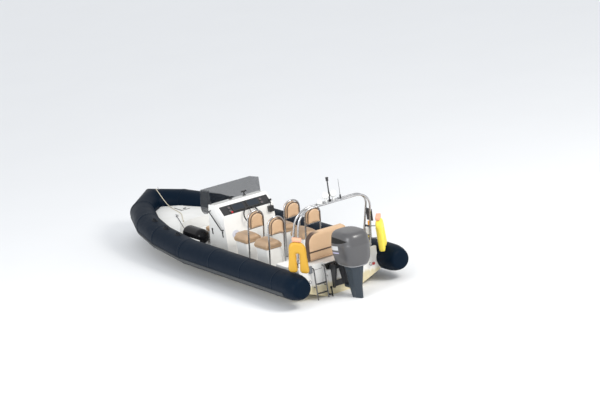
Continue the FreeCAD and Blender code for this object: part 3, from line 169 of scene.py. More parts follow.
class Finish:
    """One material: its node tree with the helpers that build it."""

    def __init__(self, name):
        self.material = bpy.data.materials.new(name)
        self.material.use_nodes = True
        self.tree = self.material.node_tree
        self.tree.nodes.clear()
        self.out = self.node("ShaderNodeOutputMaterial")
        place = self.node("ShaderNodeTexCoord")
        self.place = Flow(self.tree, place.outputs["Object"])
        split = self.node("ShaderNodeSeparateXYZ", {}, {"Vector": self.place})
        self.x, self.y, self.z = (Flow(self.tree, split.outputs[axis]) for axis in "XYZ")

    def node(self, kind, settings=None, values=None):
        node = self.tree.nodes.new(kind)
        for key, setting in (settings or {}).items():
            setattr(node, key, setting)
        for key, amount in (values or {}).items():
            if isinstance(amount, Flow):
                self.tree.links.new(amount.socket, node.inputs[key])
            else:
                node.inputs[key].default_value = amount
        return node

    def flow(self, kind, settings=None, values=None, out=0):
        return Flow(self.tree, self.node(kind, settings, values).outputs[out])

    def noise(self, scale, detail=3.0, rough=0.5, stretch=None):
        place = self.place
        if stretch:
            place = self.flow("ShaderNodeVectorMath", {"operation": "MULTIPLY"}, {0: place, 1: stretch})
        values = {"Vector": place, "Scale": scale, "Detail": detail, "Roughness": rough}
        return self.flow("ShaderNodeTexNoise", {}, values)

    def cells(self, scale, feature="F1", out=0):
        values = {"Vector": self.place, "Scale": scale}
        return self.flow("ShaderNodeTexVoronoi", {"feature": feature}, values, out)

    def blend(self, factor, first, second):
        """Two colours mixed by a factor."""
        node = self.node("ShaderNodeMix", {"data_type": "RGBA"}, {0: factor})
        for slot, colour in ((6, first), (7, second)):
            if isinstance(colour, Flow):
                self.tree.links.new(colour.socket, node.inputs[slot])
            else:
                node.inputs[slot].default_value = (*colour, 1.0)
        return Flow(self.tree, node.outputs[2])

    def bump(self, height, distance, strength=1.0, normal=None):
        values = {"Height": height, "Distance": distance, "Strength": strength}
        if normal is not None:
            values["Normal"] = normal
        return self.flow("ShaderNodeBump", {}, values)

    def surface(self, colour, rough, **more):
        """Ends the tree in one principled surface."""
        values = {"Roughness": rough}
        values["Base Color"] = colour if isinstance(colour, Flow) else (*colour, 1.0)
        for key, amount in more.items():
            values[key.replace("_", " ")] = amount
        shader = self.node("ShaderNodeBsdfPrincipled", {}, values)
        self.tree.links.new(shader.outputs[0], self.out.inputs["Surface"])
        return self.material

    def waver(self, base, scale, spread):
        """A number that wanders about a middle over the surface."""
        return base + (self.noise(scale) - 0.5) * (2 * spread)


# Sizes and colours that a user may change


def colour_property(name, description, default):
    return FloatVectorProperty(
        name=name, description=description, default=default, subtype="COLOR", size=3, min=0, max=1
    )


class BoatFinishSettings(PropertyGroup):
    collar: colour_property("Collar", "Coated fabric of the inflated collar", (0.0018, 0.0080, 0.0185))
    gelcoat: colour_property("Gelcoat", "Hull, console and deck", (0.86, 0.85, 0.82))
    stain: colour_property("Stain", "Yellowing towards the waterline", (0.66, 0.55, 0.27))
    vinyl: colour_property("Vinyl", "Seats and bench", (0.69, 0.465, 0.285))
    trim: colour_property("Trim", "Dark vinyl at the pads' edges", (0.075, 0.042, 0.028))
    buoy: colour_property("Lifebuoy", "Cover of the lifebuoys", (0.58, 0.32, 0.026))
    floats: colour_property("Float", "Foam blocks on the lifebuoys", (0.82, 0.42, 0.28))
    cowl: colour_property("Cowl", "Paint of the engine's cowl", (0.066, 0.065, 0.068))
    leg: colour_property("Leg", "Paint of the engine's leg", (0.015, 0.025, 0.037))


class BoatCameraSettings(PropertyGroup):
    azimuth: FloatProperty(
        name="Azimuth", description="Turn of the view from straight ahead to starboard",
        default=math.radians(29.506), subtype="ANGLE", unit="ROTATION",
    )
    elevation: FloatProperty(
        name="Elevation", description="Height of the view above the water",
        default=math.radians(14.586), subtype="ANGLE", unit="ROTATION",
    )
    roll: FloatProperty(
        name="Roll", description="Tilt of the view",
        default=math.radians(8.014), subtype="ANGLE", unit="ROTATION",
    )
    distance: FloatProperty(
        name="Distance", description="Camera to the point that it faces",
        default=60.0, subtype="DISTANCE", unit="LENGTH",
    )
    lens: FloatProperty(
        name="Lens", description="Focal length on a sensor 36 mm wide",
        default=184.227, subtype="DISTANCE_CAMERA", unit="CAMERA",
    )


class BoatPadSettings(PropertyGroup):
    voxel: FloatProperty(
        name="Voxel", description="Grid of the pads' mesh before they swell",
        default=0.008, subtype="DISTANCE", unit="LENGTH",
    )
    pressure: FloatProperty(
        name="Pressure", description="How hard a pad is filled", default=4.0,
    )
    steps: IntProperty(
        name="Steps", description="Frames over which the pads swell", default=20,
    )


class Settings(PropertyGroup):
    finish: PointerProperty(type=BoatFinishSettings)
    camera: PointerProperty(type=BoatCameraSettings)
    pads: PointerProperty(type=BoatPadSettings)


def settings():
    return bpy.context.scene.rib_boat


# Pieces


# Angle past which an edge stays sharp
SHARP = math.radians(35)


def show(name, data, slot, finish=None, body="boat"):
    """Shows a mesh or curve in its slot's finish or another, riding on a body if one is given."""
    piece = bpy.data.objects.new(name, data)
    bpy.context.scene.collection.objects.link(piece)
    if body:
        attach(piece, body)
    piece.data.materials.clear()
    piece.data.materials.append(FINISHES[finish or slot])
    return piece


def show_pad(name, mesh, node, slot="upholstery", finish=None):
    """Shows a swollen pad in place of its node."""
    pad = show(name, mesh, slot, finish)
    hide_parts(node)


def fit(name, parts, slot, finish=None, body="boat", sharp=True):
    """Shows several bmeshes as one piece, smooth all over or with its sharp edges kept."""
    mesh = gathered(name, parts)
    if sharp:
        mesh.set_sharp_from_angle(angle=SHARP)
    return show(name, mesh, slot, finish, body)


def smoothed(mesh):
    for polygon in mesh.polygons:
        polygon.use_smooth = True
    return mesh


def mesh_of(bm, name):
    """Ends a bmesh as a smooth mesh with its normals outwards."""
    bmesh.ops.recalc_face_normals(bm, faces=bm.faces)
    mesh = bpy.data.meshes.new(name)
    bm.to_mesh(mesh)
    bm.free()
    return smoothed(mesh)


def gathered(name, parts):
    """Several bmeshes as one mesh."""
    whole = bmesh.new()
    for part in parts:
        piece = mesh_of(part, "part")
        whole.from_mesh(piece)
        bpy.data.meshes.remove(piece)
    return mesh_of(whole, name)


def merged_copy(node):
    """A bmesh with a CAD node's shape and its doubles merged."""
    bm = bmesh.new()
    bm.from_mesh(frame["nodes"][node].data)
    bmesh.ops.remove_doubles(bm, verts=bm.verts, dist=0.0002)
    return bm


def move(bm, verts, turn=None, shift=None):
    """Turns vertices about the origin, then shifts them."""
    if turn is not None:
        bmesh.ops.rotate(bm, verts=verts, cent=(0, 0, 0), matrix=turn)
    if shift is not None:
        bmesh.ops.translate(bm, verts=verts, vec=shift)


def rounded(bm, edges, radius, segments=3):
    bmesh.ops.bevel(bm, geom=edges, offset=radius, segments=segments, profile=0.5,
                    affect="EDGES", material=-1)


def block(size, middle, round_by=0.0, turn=None):
    """A bmesh box with rounded edges, turned about its own middle."""
    bm = bmesh.new()
    bmesh.ops.create_cube(bm, size=1.0)
    bmesh.ops.scale(bm, verts=bm.verts, vec=size)
    if round_by:
        rounded(bm, bm.edges, round_by)
    move(bm, bm.verts, turn, middle)
    return bm


def rod(radius, long, foot, turn=None, round_by=0.0):
    """A bmesh cylinder that stands on its foot, then turned about the foot."""
    bm = bmesh.new()
    bmesh.ops.create_cone(bm, cap_ends=True, segments=32, radius1=radius, radius2=radius, depth=long)
    if round_by:
        rims = [edge for edge in bm.edges if abs(edge.verts[0].co.z - edge.verts[1].co.z) < 1e-6]
        rounded(bm, rims, round_by)
    move(bm, bm.verts, shift=(0, 0, long / 2))
    move(bm, bm.verts, turn, foot)
    return bm


def ring_edges(verts):
    chosen = set(verts)
    return [edge for edge in {e for v in verts for e in v.link_edges} if set(edge.verts) <= chosen]


def skin(bm, rings, closed=True):
    """Faces between neighbouring rings, and over both ends of a closed body."""
    for first, second in zip(rings, rings[1:]):
        bmesh.ops.bridge_loops(bm, edges=ring_edges(first) + ring_edges(second))
    if closed:
        for ring in (rings[0], rings[-1]):
            bmesh.ops.contextual_create(bm, geom=ring_edges(ring))


def smooth_line(name, points, radius, order, rounds, steps):
    """A round bar as a curve on its control points, which carry its thickness: its box counts that too."""
    curve = bpy.data.curves.new(name, "CURVE")
    curve.dimensions = "3D"
    curve.bevel_depth = 1.0
    curve.bevel_resolution = rounds
    curve.resolution_u = steps
    curve.use_fill_caps = True
    spline = curve.splines.new("NURBS")
    spline.points.add(len(points) - 1)
    for point, place in zip(spline.points, points):
        point.co = (*place, 1.0)
        point.radius = radius
    spline.order_u = order
    spline.use_endpoint_u = True
    return curve


def bent_bar(name, points, radius, order=3):
    """A round bar along a smooth line, as a mesh."""
    holder = bpy.data.objects.new(name, smooth_line(name, points, radius, order, rounds=3, steps=8))
    bpy.context.scene.collection.objects.link(holder)
    graph = bpy.context.evaluated_depsgraph_get()
    mesh = bpy.data.meshes.new_from_object(holder.evaluated_get(graph))
    bpy.data.objects.remove(holder)
    mesh.name = name
    return smoothed(mesh)


# How hard the pads' cloth is to stretch
PAD_STIFFNESS = 15.0


def swollen(mesh, voxel, cap, shrink):
    """A mesh remeshed, drawn in a little and swelled as filled cloth, moved by the cap at most."""
    pads = settings().pads
    piece = bpy.data.objects.new("pad_in_work", mesh)
    bpy.context.scene.collection.objects.link(piece)
    grid = piece.modifiers.new("Grid", "REMESH")
    grid.mode = "VOXEL"
    grid.voxel_size = voxel
    graph = bpy.context.evaluated_depsgraph_get()
    solid = bpy.data.meshes.new_from_object(piece.evaluated_get(graph))
    piece.modifiers.clear()
    piece.data = solid
    normals = [vertex.normal.copy() for vertex in solid.vertices]
    for vertex, normal in zip(solid.vertices, normals):
        vertex.co -= normal * shrink
    start = [vertex.co.copy() for vertex in solid.vertices]
    cloth = piece.modifiers.new("Fill", "CLOTH")
    cloth.settings.use_pressure = True
    cloth.settings.uniform_pressure_force = pads.pressure
    cloth.settings.effector_weights.gravity = 0.0
    cloth.settings.tension_stiffness = PAD_STIFFNESS
    cloth.settings.compression_stiffness = PAD_STIFFNESS
    scene = bpy.context.scene
    for step in range(1, pads.steps + 1):
        scene.frame_set(step)
    graph = bpy.context.evaluated_depsgraph_get()
    filled = bpy.data.meshes.new_from_object(piece.evaluated_get(graph))
    moved = [vertex.co.copy() for vertex in filled.vertices]
    piece.modifiers.clear()
    scene.frame_set(1)
    for vertex, before, after in zip(solid.vertices, start, moved):
        step = after - before
        if step.length > cap:
            step *= cap / step.length
        vertex.co = before + step
    bpy.data.objects.remove(piece)
    return smoothed(solid)


def swollen_node(node, voxel, cap, shrink):
    return swollen(mesh_of(merged_copy(node), node), voxel, cap, shrink)


# Finishes


def hull_finish():
    """White gelcoat, yellowed and streaked towards the water."""
    paint = Finish("hull_gelcoat")
    tones = settings().finish
    streaks = paint.noise(3.0, 5.0, 0.6, (0.6, 6.0, 0.5))
    depth = (STAIN_LINE - paint.z + (streaks - 0.5) * STAIN_WAVER) / STAIN_SOFT
    stain = depth.clamped() * (0.55 + 0.4 * streaks)
    specks = (paint.noise(60.0, 2.0) - 0.62).clamped() * 2.0
    colour = paint.blend(stain, tones.gelcoat, tones.stain)
    colour = paint.blend(specks * 0.35, colour, (0.45, 0.42, 0.36))
    rough = paint.waver(0.26, 9.0, 0.08) + stain * 0.2
    bump = paint.bump(paint.noise(25.0), 0.0015, 0.3)
    return paint.surface(colour, rough, Normal=bump, Coat_Weight=0.25)


def deck_finish():
    """Moulded deck: fine grain underfoot, a little dirt."""
    paint = Finish("deck_gelcoat")
    tones = settings().finish
    dirt = (paint.noise(4.0, 5.0) - 0.45).clamped() * 0.55
    colour = paint.blend(dirt, tones.gelcoat, (0.60, 0.57, 0.50))
    grain = paint.cells(260.0)
    bump = paint.bump(grain, 0.0012, 0.5)
    return paint.surface(colour, paint.waver(0.42, 8.0, 0.1), Normal=bump)


def collar_finish():
    """Coated fabric: fine weave, long soft wrinkles and taped seams."""
    paint = Finish("collar_fabric")
    tones = settings().finish
    weave = paint.noise(900.0, 1.0)
    slack = paint.noise(2.2, 2.0, 0.5, (1.0, 3.0, 3.0))
    dust = (paint.noise(7.0, 6.0) - 0.5).clamped()
    colour = paint.blend(dust * 0.5, tones.collar, (0.007, 0.016, 0.027))
    bump = paint.bump(weave, 0.0004, 0.35)
    bump = paint.bump(slack, 0.03, 0.25, bump)
    return paint.surface(colour, paint.waver(0.46, 5.0, 0.08), Normal=bump, Specular_IOR_Level=0.07)


def console_finish():
    """Glossy white mouldings with faint handling marks."""
    paint = Finish("console_gelcoat")
    tones = settings().finish
    marks = (paint.noise(11.0, 6.0) - 0.55).clamped() * 0.6
    colour = paint.blend(marks, tones.gelcoat, (0.62, 0.61, 0.58))
    bump = paint.bump(paint.noise(18.0), 0.0015, 0.3)
    return paint.surface(colour, paint.waver(0.22, 7.0, 0.07), Normal=bump, Coat_Weight=0.3)


def plain_finish(name, low, high, rough, spread, scale=8.0, grain=400.0, depth=0.0004, **more):
    """A finish whose colour drifts between two tones under a fine grain."""
    paint = Finish(name)
    drift = paint.noise(scale, 4.0)
    colour = paint.blend(drift, low, high)
    bump = paint.bump(paint.noise(grain, 2.0), depth, 0.5)
    return paint.surface(colour, paint.waver(rough, scale * 1.7, spread), Normal=bump, **more)


def glazing_finish():
    """Tinted acrylic with faint salt spots."""
    paint = Finish("tinted_glazing")
    spots = (paint.noise(45.0, 3.0) - 0.6).clamped()
    colour = paint.blend(spots, (0.016, 0.020, 0.026), (0.3, 0.32, 0.35))
    alpha = (0.48 + spots * 0.3).clamped()
    return paint.surface(colour, 0.06 + spots * 0.3, Alpha=alpha, Specular_IOR_Level=0.25)


def steel_finish():
    """Polished stainless tube with water marks."""
    paint = Finish("stainless")
    marks = paint.noise(14.0, 5.0)
    colour = paint.blend(marks, (0.42, 0.43, 0.45), (0.60, 0.60, 0.61))
    return paint.surface(colour, paint.waver(0.24, 20.0, 0.07), Metallic=1.0)


def vinyl_finish(name, bolster=False, shade=1.0):
    """Marine vinyl: pebbled grain, a slow drift of tone, a dark bolster at the bench's port end, and a
    painted shade that darkens it all by a factor.
    """
    paint = Finish(name)
    tones = settings().finish
    pebble = paint.cells(520.0, "SMOOTH_F1")
    drift = paint.noise(5.0, 4.0)
    worn = (paint.noise(16.0, 5.0) - 0.55).clamped()
    # Painted shade: every tone is darkened by the factor given
    base = tuple(shade * tone for tone in tones.vinyl)
    dull = tuple(0.86 * tone for tone in base)
    colour = paint.blend(drift, base, dull)
    colour = paint.blend(worn * 0.5, colour, tuple(shade * tone for tone in (0.74, 0.57, 0.41)))
    if bolster:
        low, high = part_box("bench_back")
        radius = REST_ROUND[0]
        out = (paint.y - (high[1] - radius)).math("MAXIMUM", 0.0)
        over = (paint.z - (high[2] - radius)).math("MAXIMUM", 0.0)
        margin = radius - (out * out + over * over).math("SQRT")
        band = margin.below(BOLSTER, 0.003) * paint.y.above(high[1] - radius, 0.08)
        colour = paint.blend(band, colour, tones.trim)
    bump = paint.bump(pebble, 0.0006, 0.6)
    return paint.surface(colour, paint.waver(0.46, 9.0, 0.07), Normal=bump)


def buoy_finish():
    """Coated cloth over foam: the one to port is deeper in colour."""
    paint = Finish("buoy_yellow")
    tones = settings().finish
    weave = paint.noise(700.0, 1.0)
    fade = paint.noise(6.0, 4.0)
    port = paint.y.above(0.0, 0.2)
    colour = paint.blend(port, (0.92, 0.75, 0.08), tones.buoy)
    colour = paint.blend(fade * 0.35, colour, (0.54, 0.31, 0.026))
    bump = paint.bump(weave, 0.0005, 0.5)
    return paint.surface(colour, paint.waver(0.5, 12.0, 0.06), Normal=bump)


def cowl_finish():
    """Satin paint with a dark vent, a pale panel and a thin stripe on each side."""
    paint = Finish("cowl_grey")
    tones = settings().finish
    film = paint.noise(3.0, 3.0)
    light = tuple(1.2 * tone for tone in tones.cowl)
    colour = paint.blend(film, tones.cowl, light)
    aft = (VENT_FORE - paint.x) / VENT_LONG
    side = abs(paint.y).above(COWL_SIDE, 0.02)
    along = side * aft.within(0.0, 1.0, 0.01)
    off = abs(paint.z - (VENT_LOW + VENT_RISE * aft))
    vent = along * (VENT_HALF * (1 - aft.math("POWER", 3.0)) - off).above(0.0, 0.004)
    rise = paint.z - PANEL_TOP + (paint.x - PANEL_FORE) * PANEL_SLOPE
    within = side * paint.x.within(PANEL_FORE - PANEL_LONG, PANEL_FORE, 0.004)
    panel = within * rise.within(-PANEL_DEEP, 0.0, 0.003)
    stripe = within * rise.within(*STRIPE, 0.003)
    rim = paint.z.within(*COWL_RIM, 0.002)
    colour = paint.blend(panel, colour, (0.62, 0.63, 0.64))
    colour = paint.blend(stripe, colour, (0.48, 0.46, 0.68))
    colour = paint.blend(rim, colour, (0.34, 0.35, 0.37))
    colour = paint.blend(vent, colour, (0.002, 0.002, 0.002))
    rough = paint.waver(0.36, 6.0, 0.05) + vent * 0.3
    louvre = (paint.z * VENT_PITCH).math("SINE") * vent
    bump = paint.bump(louvre - vent * 2, 0.006, 0.6)
    return paint.surface(colour, rough, Normal=bump, Coat_Weight=0.3 * (1 - vent), Coat_Roughness=0.15)


def marker_finish():
    """Orange lens above a white case."""
    paint = Finish("marker_orange")
    above = paint.z.above(1.02, 0.003)
    grime = paint.noise(30.0, 4.0)
    white = paint.blend(grime, (0.80, 0.79, 0.76), (0.66, 0.65, 0.60))
    colour = paint.blend(above, white, (0.82, 0.33, 0.03))
    return paint.surface(colour, paint.waver(0.3, 20.0, 0.08))


def rope_finish(name, light, dark):
    """Laid rope: the strands show as slanting ridges, with painted shade darkening the grooves between
    them.
    """
    paint = Finish(name)
    fibre = paint.noise(600.0, 2.0)
    slope = ((paint.x + paint.y * 0.6 + paint.z * 0.8) * 420.0).math("SINE")
    ridge_and_groove_shade = slope * 0.5 + 0.5
    # Painted shade: the colour runs from the dark tone in the grooves to the light tone on the strands'
    # crowns
    colour = paint.blend(ridge_and_groove_shade * 0.6 + fibre * 0.3, dark, light)
    return paint.surface(colour, 0.82, Normal=paint.bump(ridge_and_groove_shade, 0.0015, 0.7))


# Finishes that drift between two tones: both tones, roughness and how far that wanders
PLAIN_FINISHES = {
    "black_panel": ((0.016, 0.016, 0.018), (0.03, 0.03, 0.032), 0.42, 0.08),
    "black_rubber": ((0.014, 0.014, 0.015), (0.03, 0.03, 0.03), 0.6, 0.08),
    "red_plastic": ((0.55, 0.03, 0.03), (0.40, 0.02, 0.02), 0.35, 0.06),
    "screen_glass": ((0.010, 0.016, 0.024), (0.018, 0.026, 0.038), 0.08, 0.03),
    "dial_face": ((0.11, 0.11, 0.115), (0.07, 0.07, 0.075), 0.2, 0.05),
    "strake_rubber": ((0.026, 0.030, 0.034), (0.045, 0.050, 0.053), 0.6, 0.08),
    "grip_rubber": ((0.004, 0.006, 0.010), (0.009, 0.012, 0.018), 0.6, 0.08),
    "pad_grey": ((0.13, 0.14, 0.16), (0.20, 0.21, 0.23), 0.5, 0.08),
    "dark_steel": ((0.10, 0.10, 0.105), (0.22, 0.22, 0.23), 0.22, 0.08),
    "strap_yellow": ((0.75, 0.60, 0.08), (0.55, 0.42, 0.05), 0.7, 0.08),
    "pale_moulding": ((0.64, 0.65, 0.72), (0.56, 0.57, 0.64), 0.4, 0.08),
    "lamp_white": ((0.82, 0.82, 0.80), (0.74, 0.74, 0.72), 0.25, 0.06),
    "aerial_black": ((0.012, 0.012, 0.014), (0.028, 0.028, 0.03), 0.5, 0.1),
    "bracket_grey": ((0.020, 0.022, 0.025), (0.040, 0.042, 0.046), 0.42, 0.08),
    "cast_block": ((0.30, 0.30, 0.31), (0.42, 0.42, 0.43), 0.55, 0.1),
    "prop_metal": ((0.52, 0.52, 0.53), (0.68, 0.68, 0.68), 0.22, 0.08),
    "tab_black": ((0.014, 0.014, 0.015), (0.03, 0.03, 0.028), 0.45, 0.1),
    "fender_black": ((0.006, 0.006, 0.007), (0.014, 0.014, 0.016), 0.14, 0.05),
}
# What the surface of some of them has beside that
SURFACES = {
    "grip_rubber": {"Specular_IOR_Level": 0.15},
    "dark_steel": {"Metallic": 0.9},
    "lamp_white": {"Coat_Weight": 0.3},
    "cast_block": {"Metallic": 0.7},
    "prop_metal": {"Metallic": 1.0},
    "fender_black": {"Specular_IOR_Level": 0.15},
}
# How much darker the jockey seats' cushions are painted than their backs: painted shade on the cushions'
# tops
CUSHION_PAINTED_SHADE = 0.74


def make_finishes():
    """Every finish by the name of its slot, and a few for details."""
    tones = settings().finish
    trim = tuple(tones.trim)
    made = {
        name: plain_finish(name, *look, **SURFACES.get(name, {}))
        for name, look in PLAIN_FINISHES.items()
    }
    made.update(
        hull_gelcoat=hull_finish(),
        deck_gelcoat=deck_finish(),
        collar_fabric=collar_finish(),
        console_gelcoat=console_finish(),
        tinted_glazing=glazing_finish(),
        stainless=steel_finish(),
        buoy_yellow=buoy_finish(),
        cowl_grey=cowl_finish(),
        marker_orange=marker_finish(),
        upholstery=vinyl_finish("upholstery"),
        bench_vinyl=vinyl_finish("bench_vinyl", bolster=True),
        # The jockey seats' cushions: the same vinyl, darkened with painted shade
        cushion_vinyl=vinyl_finish("cushion_vinyl", shade=CUSHION_PAINTED_SHADE),
        trim_vinyl=plain_finish("trim_vinyl", trim, tuple(0.6 * tone for tone in trim), 0.5, 0.08),
        float_pink=plain_finish("float_pink", tones.floats, (0.70, 0.33, 0.20), 0.7, 0.08, grain=150.0),
        engine_grey=plain_finish("engine_grey", tones.leg, (0.026, 0.039, 0.053), 0.36, 0.07),
        # Ropes: their own tone on the crowns, painted shade in the grooves
        rope_cream=rope_finish("rope_cream", (0.80, 0.74, 0.60), (0.50, 0.44, 0.33)),
        lanyard_black=rope_finish("lanyard_black", (0.05, 0.05, 0.055), (0.015, 0.015, 0.017)),
    )
    return made


FINISHES = {}


# Nodes whose finish differs from their slot's
OTHER_FINISH = {"rub_strakes": "strake_rubber", "ladder": "dark_steel"}


class BOAT_OT_finishes(Operator):
    """Make the finishes and paint the nodes of the CAD frame"""

    bl_idname = "boat.finishes"
    bl_label = "Finishes"

    def execute(self, context):
        FINISHES.update(make_finishes())
        for part in frame["record"]["subparts"]:
            node = frame["nodes"][part["node"]]
            material = FINISHES[OTHER_FINISH.get(part["node"], part["material_slot"])]
            if not node.material_slots:
                node.data.materials.append(material)
            for slot in node.material_slots:
                slot.material = material
        return {"FINISHED"}


# Cords

PAINTER = (
    (7.452, -0.066, 0.948), (7.376, -0.050, 0.924), (7.284, -0.042, 0.876), (7.195, -0.048, 0.797),
    (7.125, -0.077, 0.700), (7.064, -0.109, 0.623), (6.960, -0.098, 0.6083), (6.800, -0.062, 0.6083),
    (6.620, -0.032, 0.6083), (6.440, -0.006, 0.6083), (6.262, 0.030, 0.6083), (6.092, 0.106, 0.6083),
    (5.925, 0.190, 0.6083), (5.765, 0.268, 0.6083), (5.625, 0.332, 0.6083),
)
PAINTER_RADIUS = 0.008
LANYARD = (
    (6.170, 0.206, 0.6126), (6.010, 0.250, 0.6064), (5.850, 0.314, 0.6064), (5.690, 0.373, 0.6064),
    (5.570, 0.424, 0.6068), (5.450, 0.468, 0.611), (5.330, 0.508, 0.591), (5.225, 0.541, 0.563),
    (5.130, 0.567, 0.5485), (5.0675, 0.5865, 0.5453),
)
LANYARD_RADIUS = 0.006


# The painter's knot: turns, radius round its middle and radius of its strand
KNOT_TURNS = 3
KNOT_RADIUS = 0.017
KNOT_STRAND = 0.0078


def cord_curve(name, points, radius, slot):
    """A cord as one smooth spline through its route."""
    return show(name, smooth_line(name, points, radius, order=3, rounds=4, steps=10), slot)


def knot_mesh(middle):
    """A stopper knot: turns of rope wound close about one middle."""
    bm = bmesh.new()
    for turn in range(KNOT_TURNS):
        ring = bmesh.ops.create_circle(bm, segments=10, radius=KNOT_STRAND)["verts"]
        move(bm, ring, Matrix.Rotation(math.pi / 2, 3, "X"), (KNOT_RADIUS - KNOT_STRAND, 0, 0))
        bmesh.ops.spin(
            bm, geom=ring_edges(ring) + ring, cent=(0, 0, 0), axis=(0, 0, 1), angle=2 * math.pi,
            steps=28, use_merge=True, use_duplicate=False,
        )
        fresh = [vert for vert in bm.verts if not vert.tag]
        tilt = Matrix.Rotation(math.radians(60 * turn), 3, "X") @ Matrix.Rotation(math.radians(25), 3, "Y")
        move(bm, fresh, tilt)
        for vert in fresh:
            vert.tag = True
    move(bm, bm.verts, shift=middle)
    return mesh_of(bm, "painter_knot")


class BOAT_OT_cords(Operator):
    """Lay the painter and the fender's lanyard"""

    bl_idname = "boat.cords"
    bl_label = "Cords"

    def execute(self, context):
        painter = cord_curve("painter_rope", PAINTER, PAINTER_RADIUS, "rope_cream")
        x, y, z = PAINTER[-1]
        knot = show("painter_knot", knot_mesh((x, y, z + PAINTER_RADIUS)), "rope_cream")
        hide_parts("painter")
        lanyard = cord_curve("fender_lanyard", LANYARD, LANYARD_RADIUS, "lanyard_black")
        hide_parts("fender_cord")
        return {"FINISHED"}


# Pads

# How far the cloth of a pad may move, and how far it is drawn in before it swells
SEAT_SWELL = (0.014, 0.007)
BACK_SWELL = (0.014, 0.006)
CONSOLE_SWELL = (0.012, 0.007)
REST_SWELL = (0.018, 0.008)
BUOY_SWELL = (0.008, 0.004)
FLOAT_SWELL = (0.006, 0.004)
# How much coarser the bench's grid is
BENCH_GRID = 1.25

SEATS = range(1, 5)
# A jockey seat: lean of its back, radius of its hoop's foot plates, and its pad's half width, thickness,
# lower edge and the middle of its round top
SEAT_LEAN = math.radians(9)
FOOT_PLATE = 0.034
PAD_HALF = 0.150
PAD_THICK = 0.120
PAD_LOW = 0.843
PAD_MIDDLE = 1.020
# How far the pad's front is drawn forward of the hoop
PAD_FORWARD = 0.055
# The piping on its after edge: radius, and how far it is set forward and in
PIPING_RADIUS = 0.009
PIPING_SET = 0.004
PIPING_IN = 0.002


def seat_foot(number):
    """The foot of a seat's hoop on its middle line."""
    low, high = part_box(f"seat_hoop_{number}")
    return Vector((high[0] - FOOT_PLATE, (low[1] + high[1]) / 2, low[2]))


def leaning(x, y, z):
    """A point of the seat's back, leant aft about the hoop's foot."""
    return Matrix.Rotation(-SEAT_LEAN, 3, "Y") @ Vector((x, y, z))


def pad_edge(x, out):
    """The outline of a back pad as control points, some way outside the pad's own edge."""
    half = PAD_HALF + out
    low = PAD_LOW - out
    points = [(x, -half, low), (x, -half, low), (x, -half, PAD_MIDDLE)]
    for step in range(1, 8):
        turn = math.pi * (1 - step / 8)
        points.append((x, half * math.cos(turn) * 1.03, PAD_MIDDLE + half * math.sin(turn) * 1.03))
    points += [(x, half, PAD_MIDDLE), (x, half, low), (x, half, low)]
    return [leaning(*point) for point in points]


class BOAT_OT_seats(Operator):
    """Swell the jockey seats' cushions and back pads, and pipe the pads' edges"""

    bl_idname = "boat.seats"
    bl_label = "Seats"

    def cushions(self, voxel):
        mesh = swollen_node("seat_cushion_1", voxel, *SEAT_SWELL)
        start = Vector(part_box("seat_cushion_1")[0])
        for number in SEATS:
            node = f"seat_cushion_{number}"
            copy = mesh.copy()
            copy.transform(Matrix.Translation(Vector(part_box(node)[0]) - start))
            # Each cushion takes the vinyl darkened with painted shade
            show_pad(f"{node}_pad", copy, node, finish="cushion_vinyl")

    def back_pad(self, voxel):
        """The first seat's pad about its hoop's foot: its front drawn forward, then swollen."""
        bm = merged_copy("seat_back_1")
        upright = Matrix.Rotation(SEAT_LEAN, 3, "Y")
        move(bm, bm.verts, shift=-seat_foot(1))
        move(bm, bm.verts, upright)
        move(bm, [vert for vert in bm.verts if vert.co.x > 0], shift=(PAD_FORWARD, 0, 0))
        move(bm, bm.verts, upright.inverted())
        return swollen(mesh_of(bm, "back_pad"), voxel, *BACK_SWELL)

    def execute(self, context):
        voxel = settings().pads.voxel
        self.cushions(voxel)
        mesh = self.back_pad(voxel)
        edge = pad_edge(PIPING_SET - PAD_THICK / 2, -PIPING_IN)
        piping = bent_bar("piping", edge, PIPING_RADIUS, order=4)
        for number in SEATS:
            node = f"seat_back_{number}"
            place = Matrix.Translation(seat_foot(number))
            pad, rim = mesh.copy(), piping.copy()
            pad.transform(place)
            rim.transform(place)
            show_pad(f"{node}_pad", pad, node)
            show(f"{node}_piping", rim, "upholstery", "trim_vinyl")
        return {"FINISHED"}


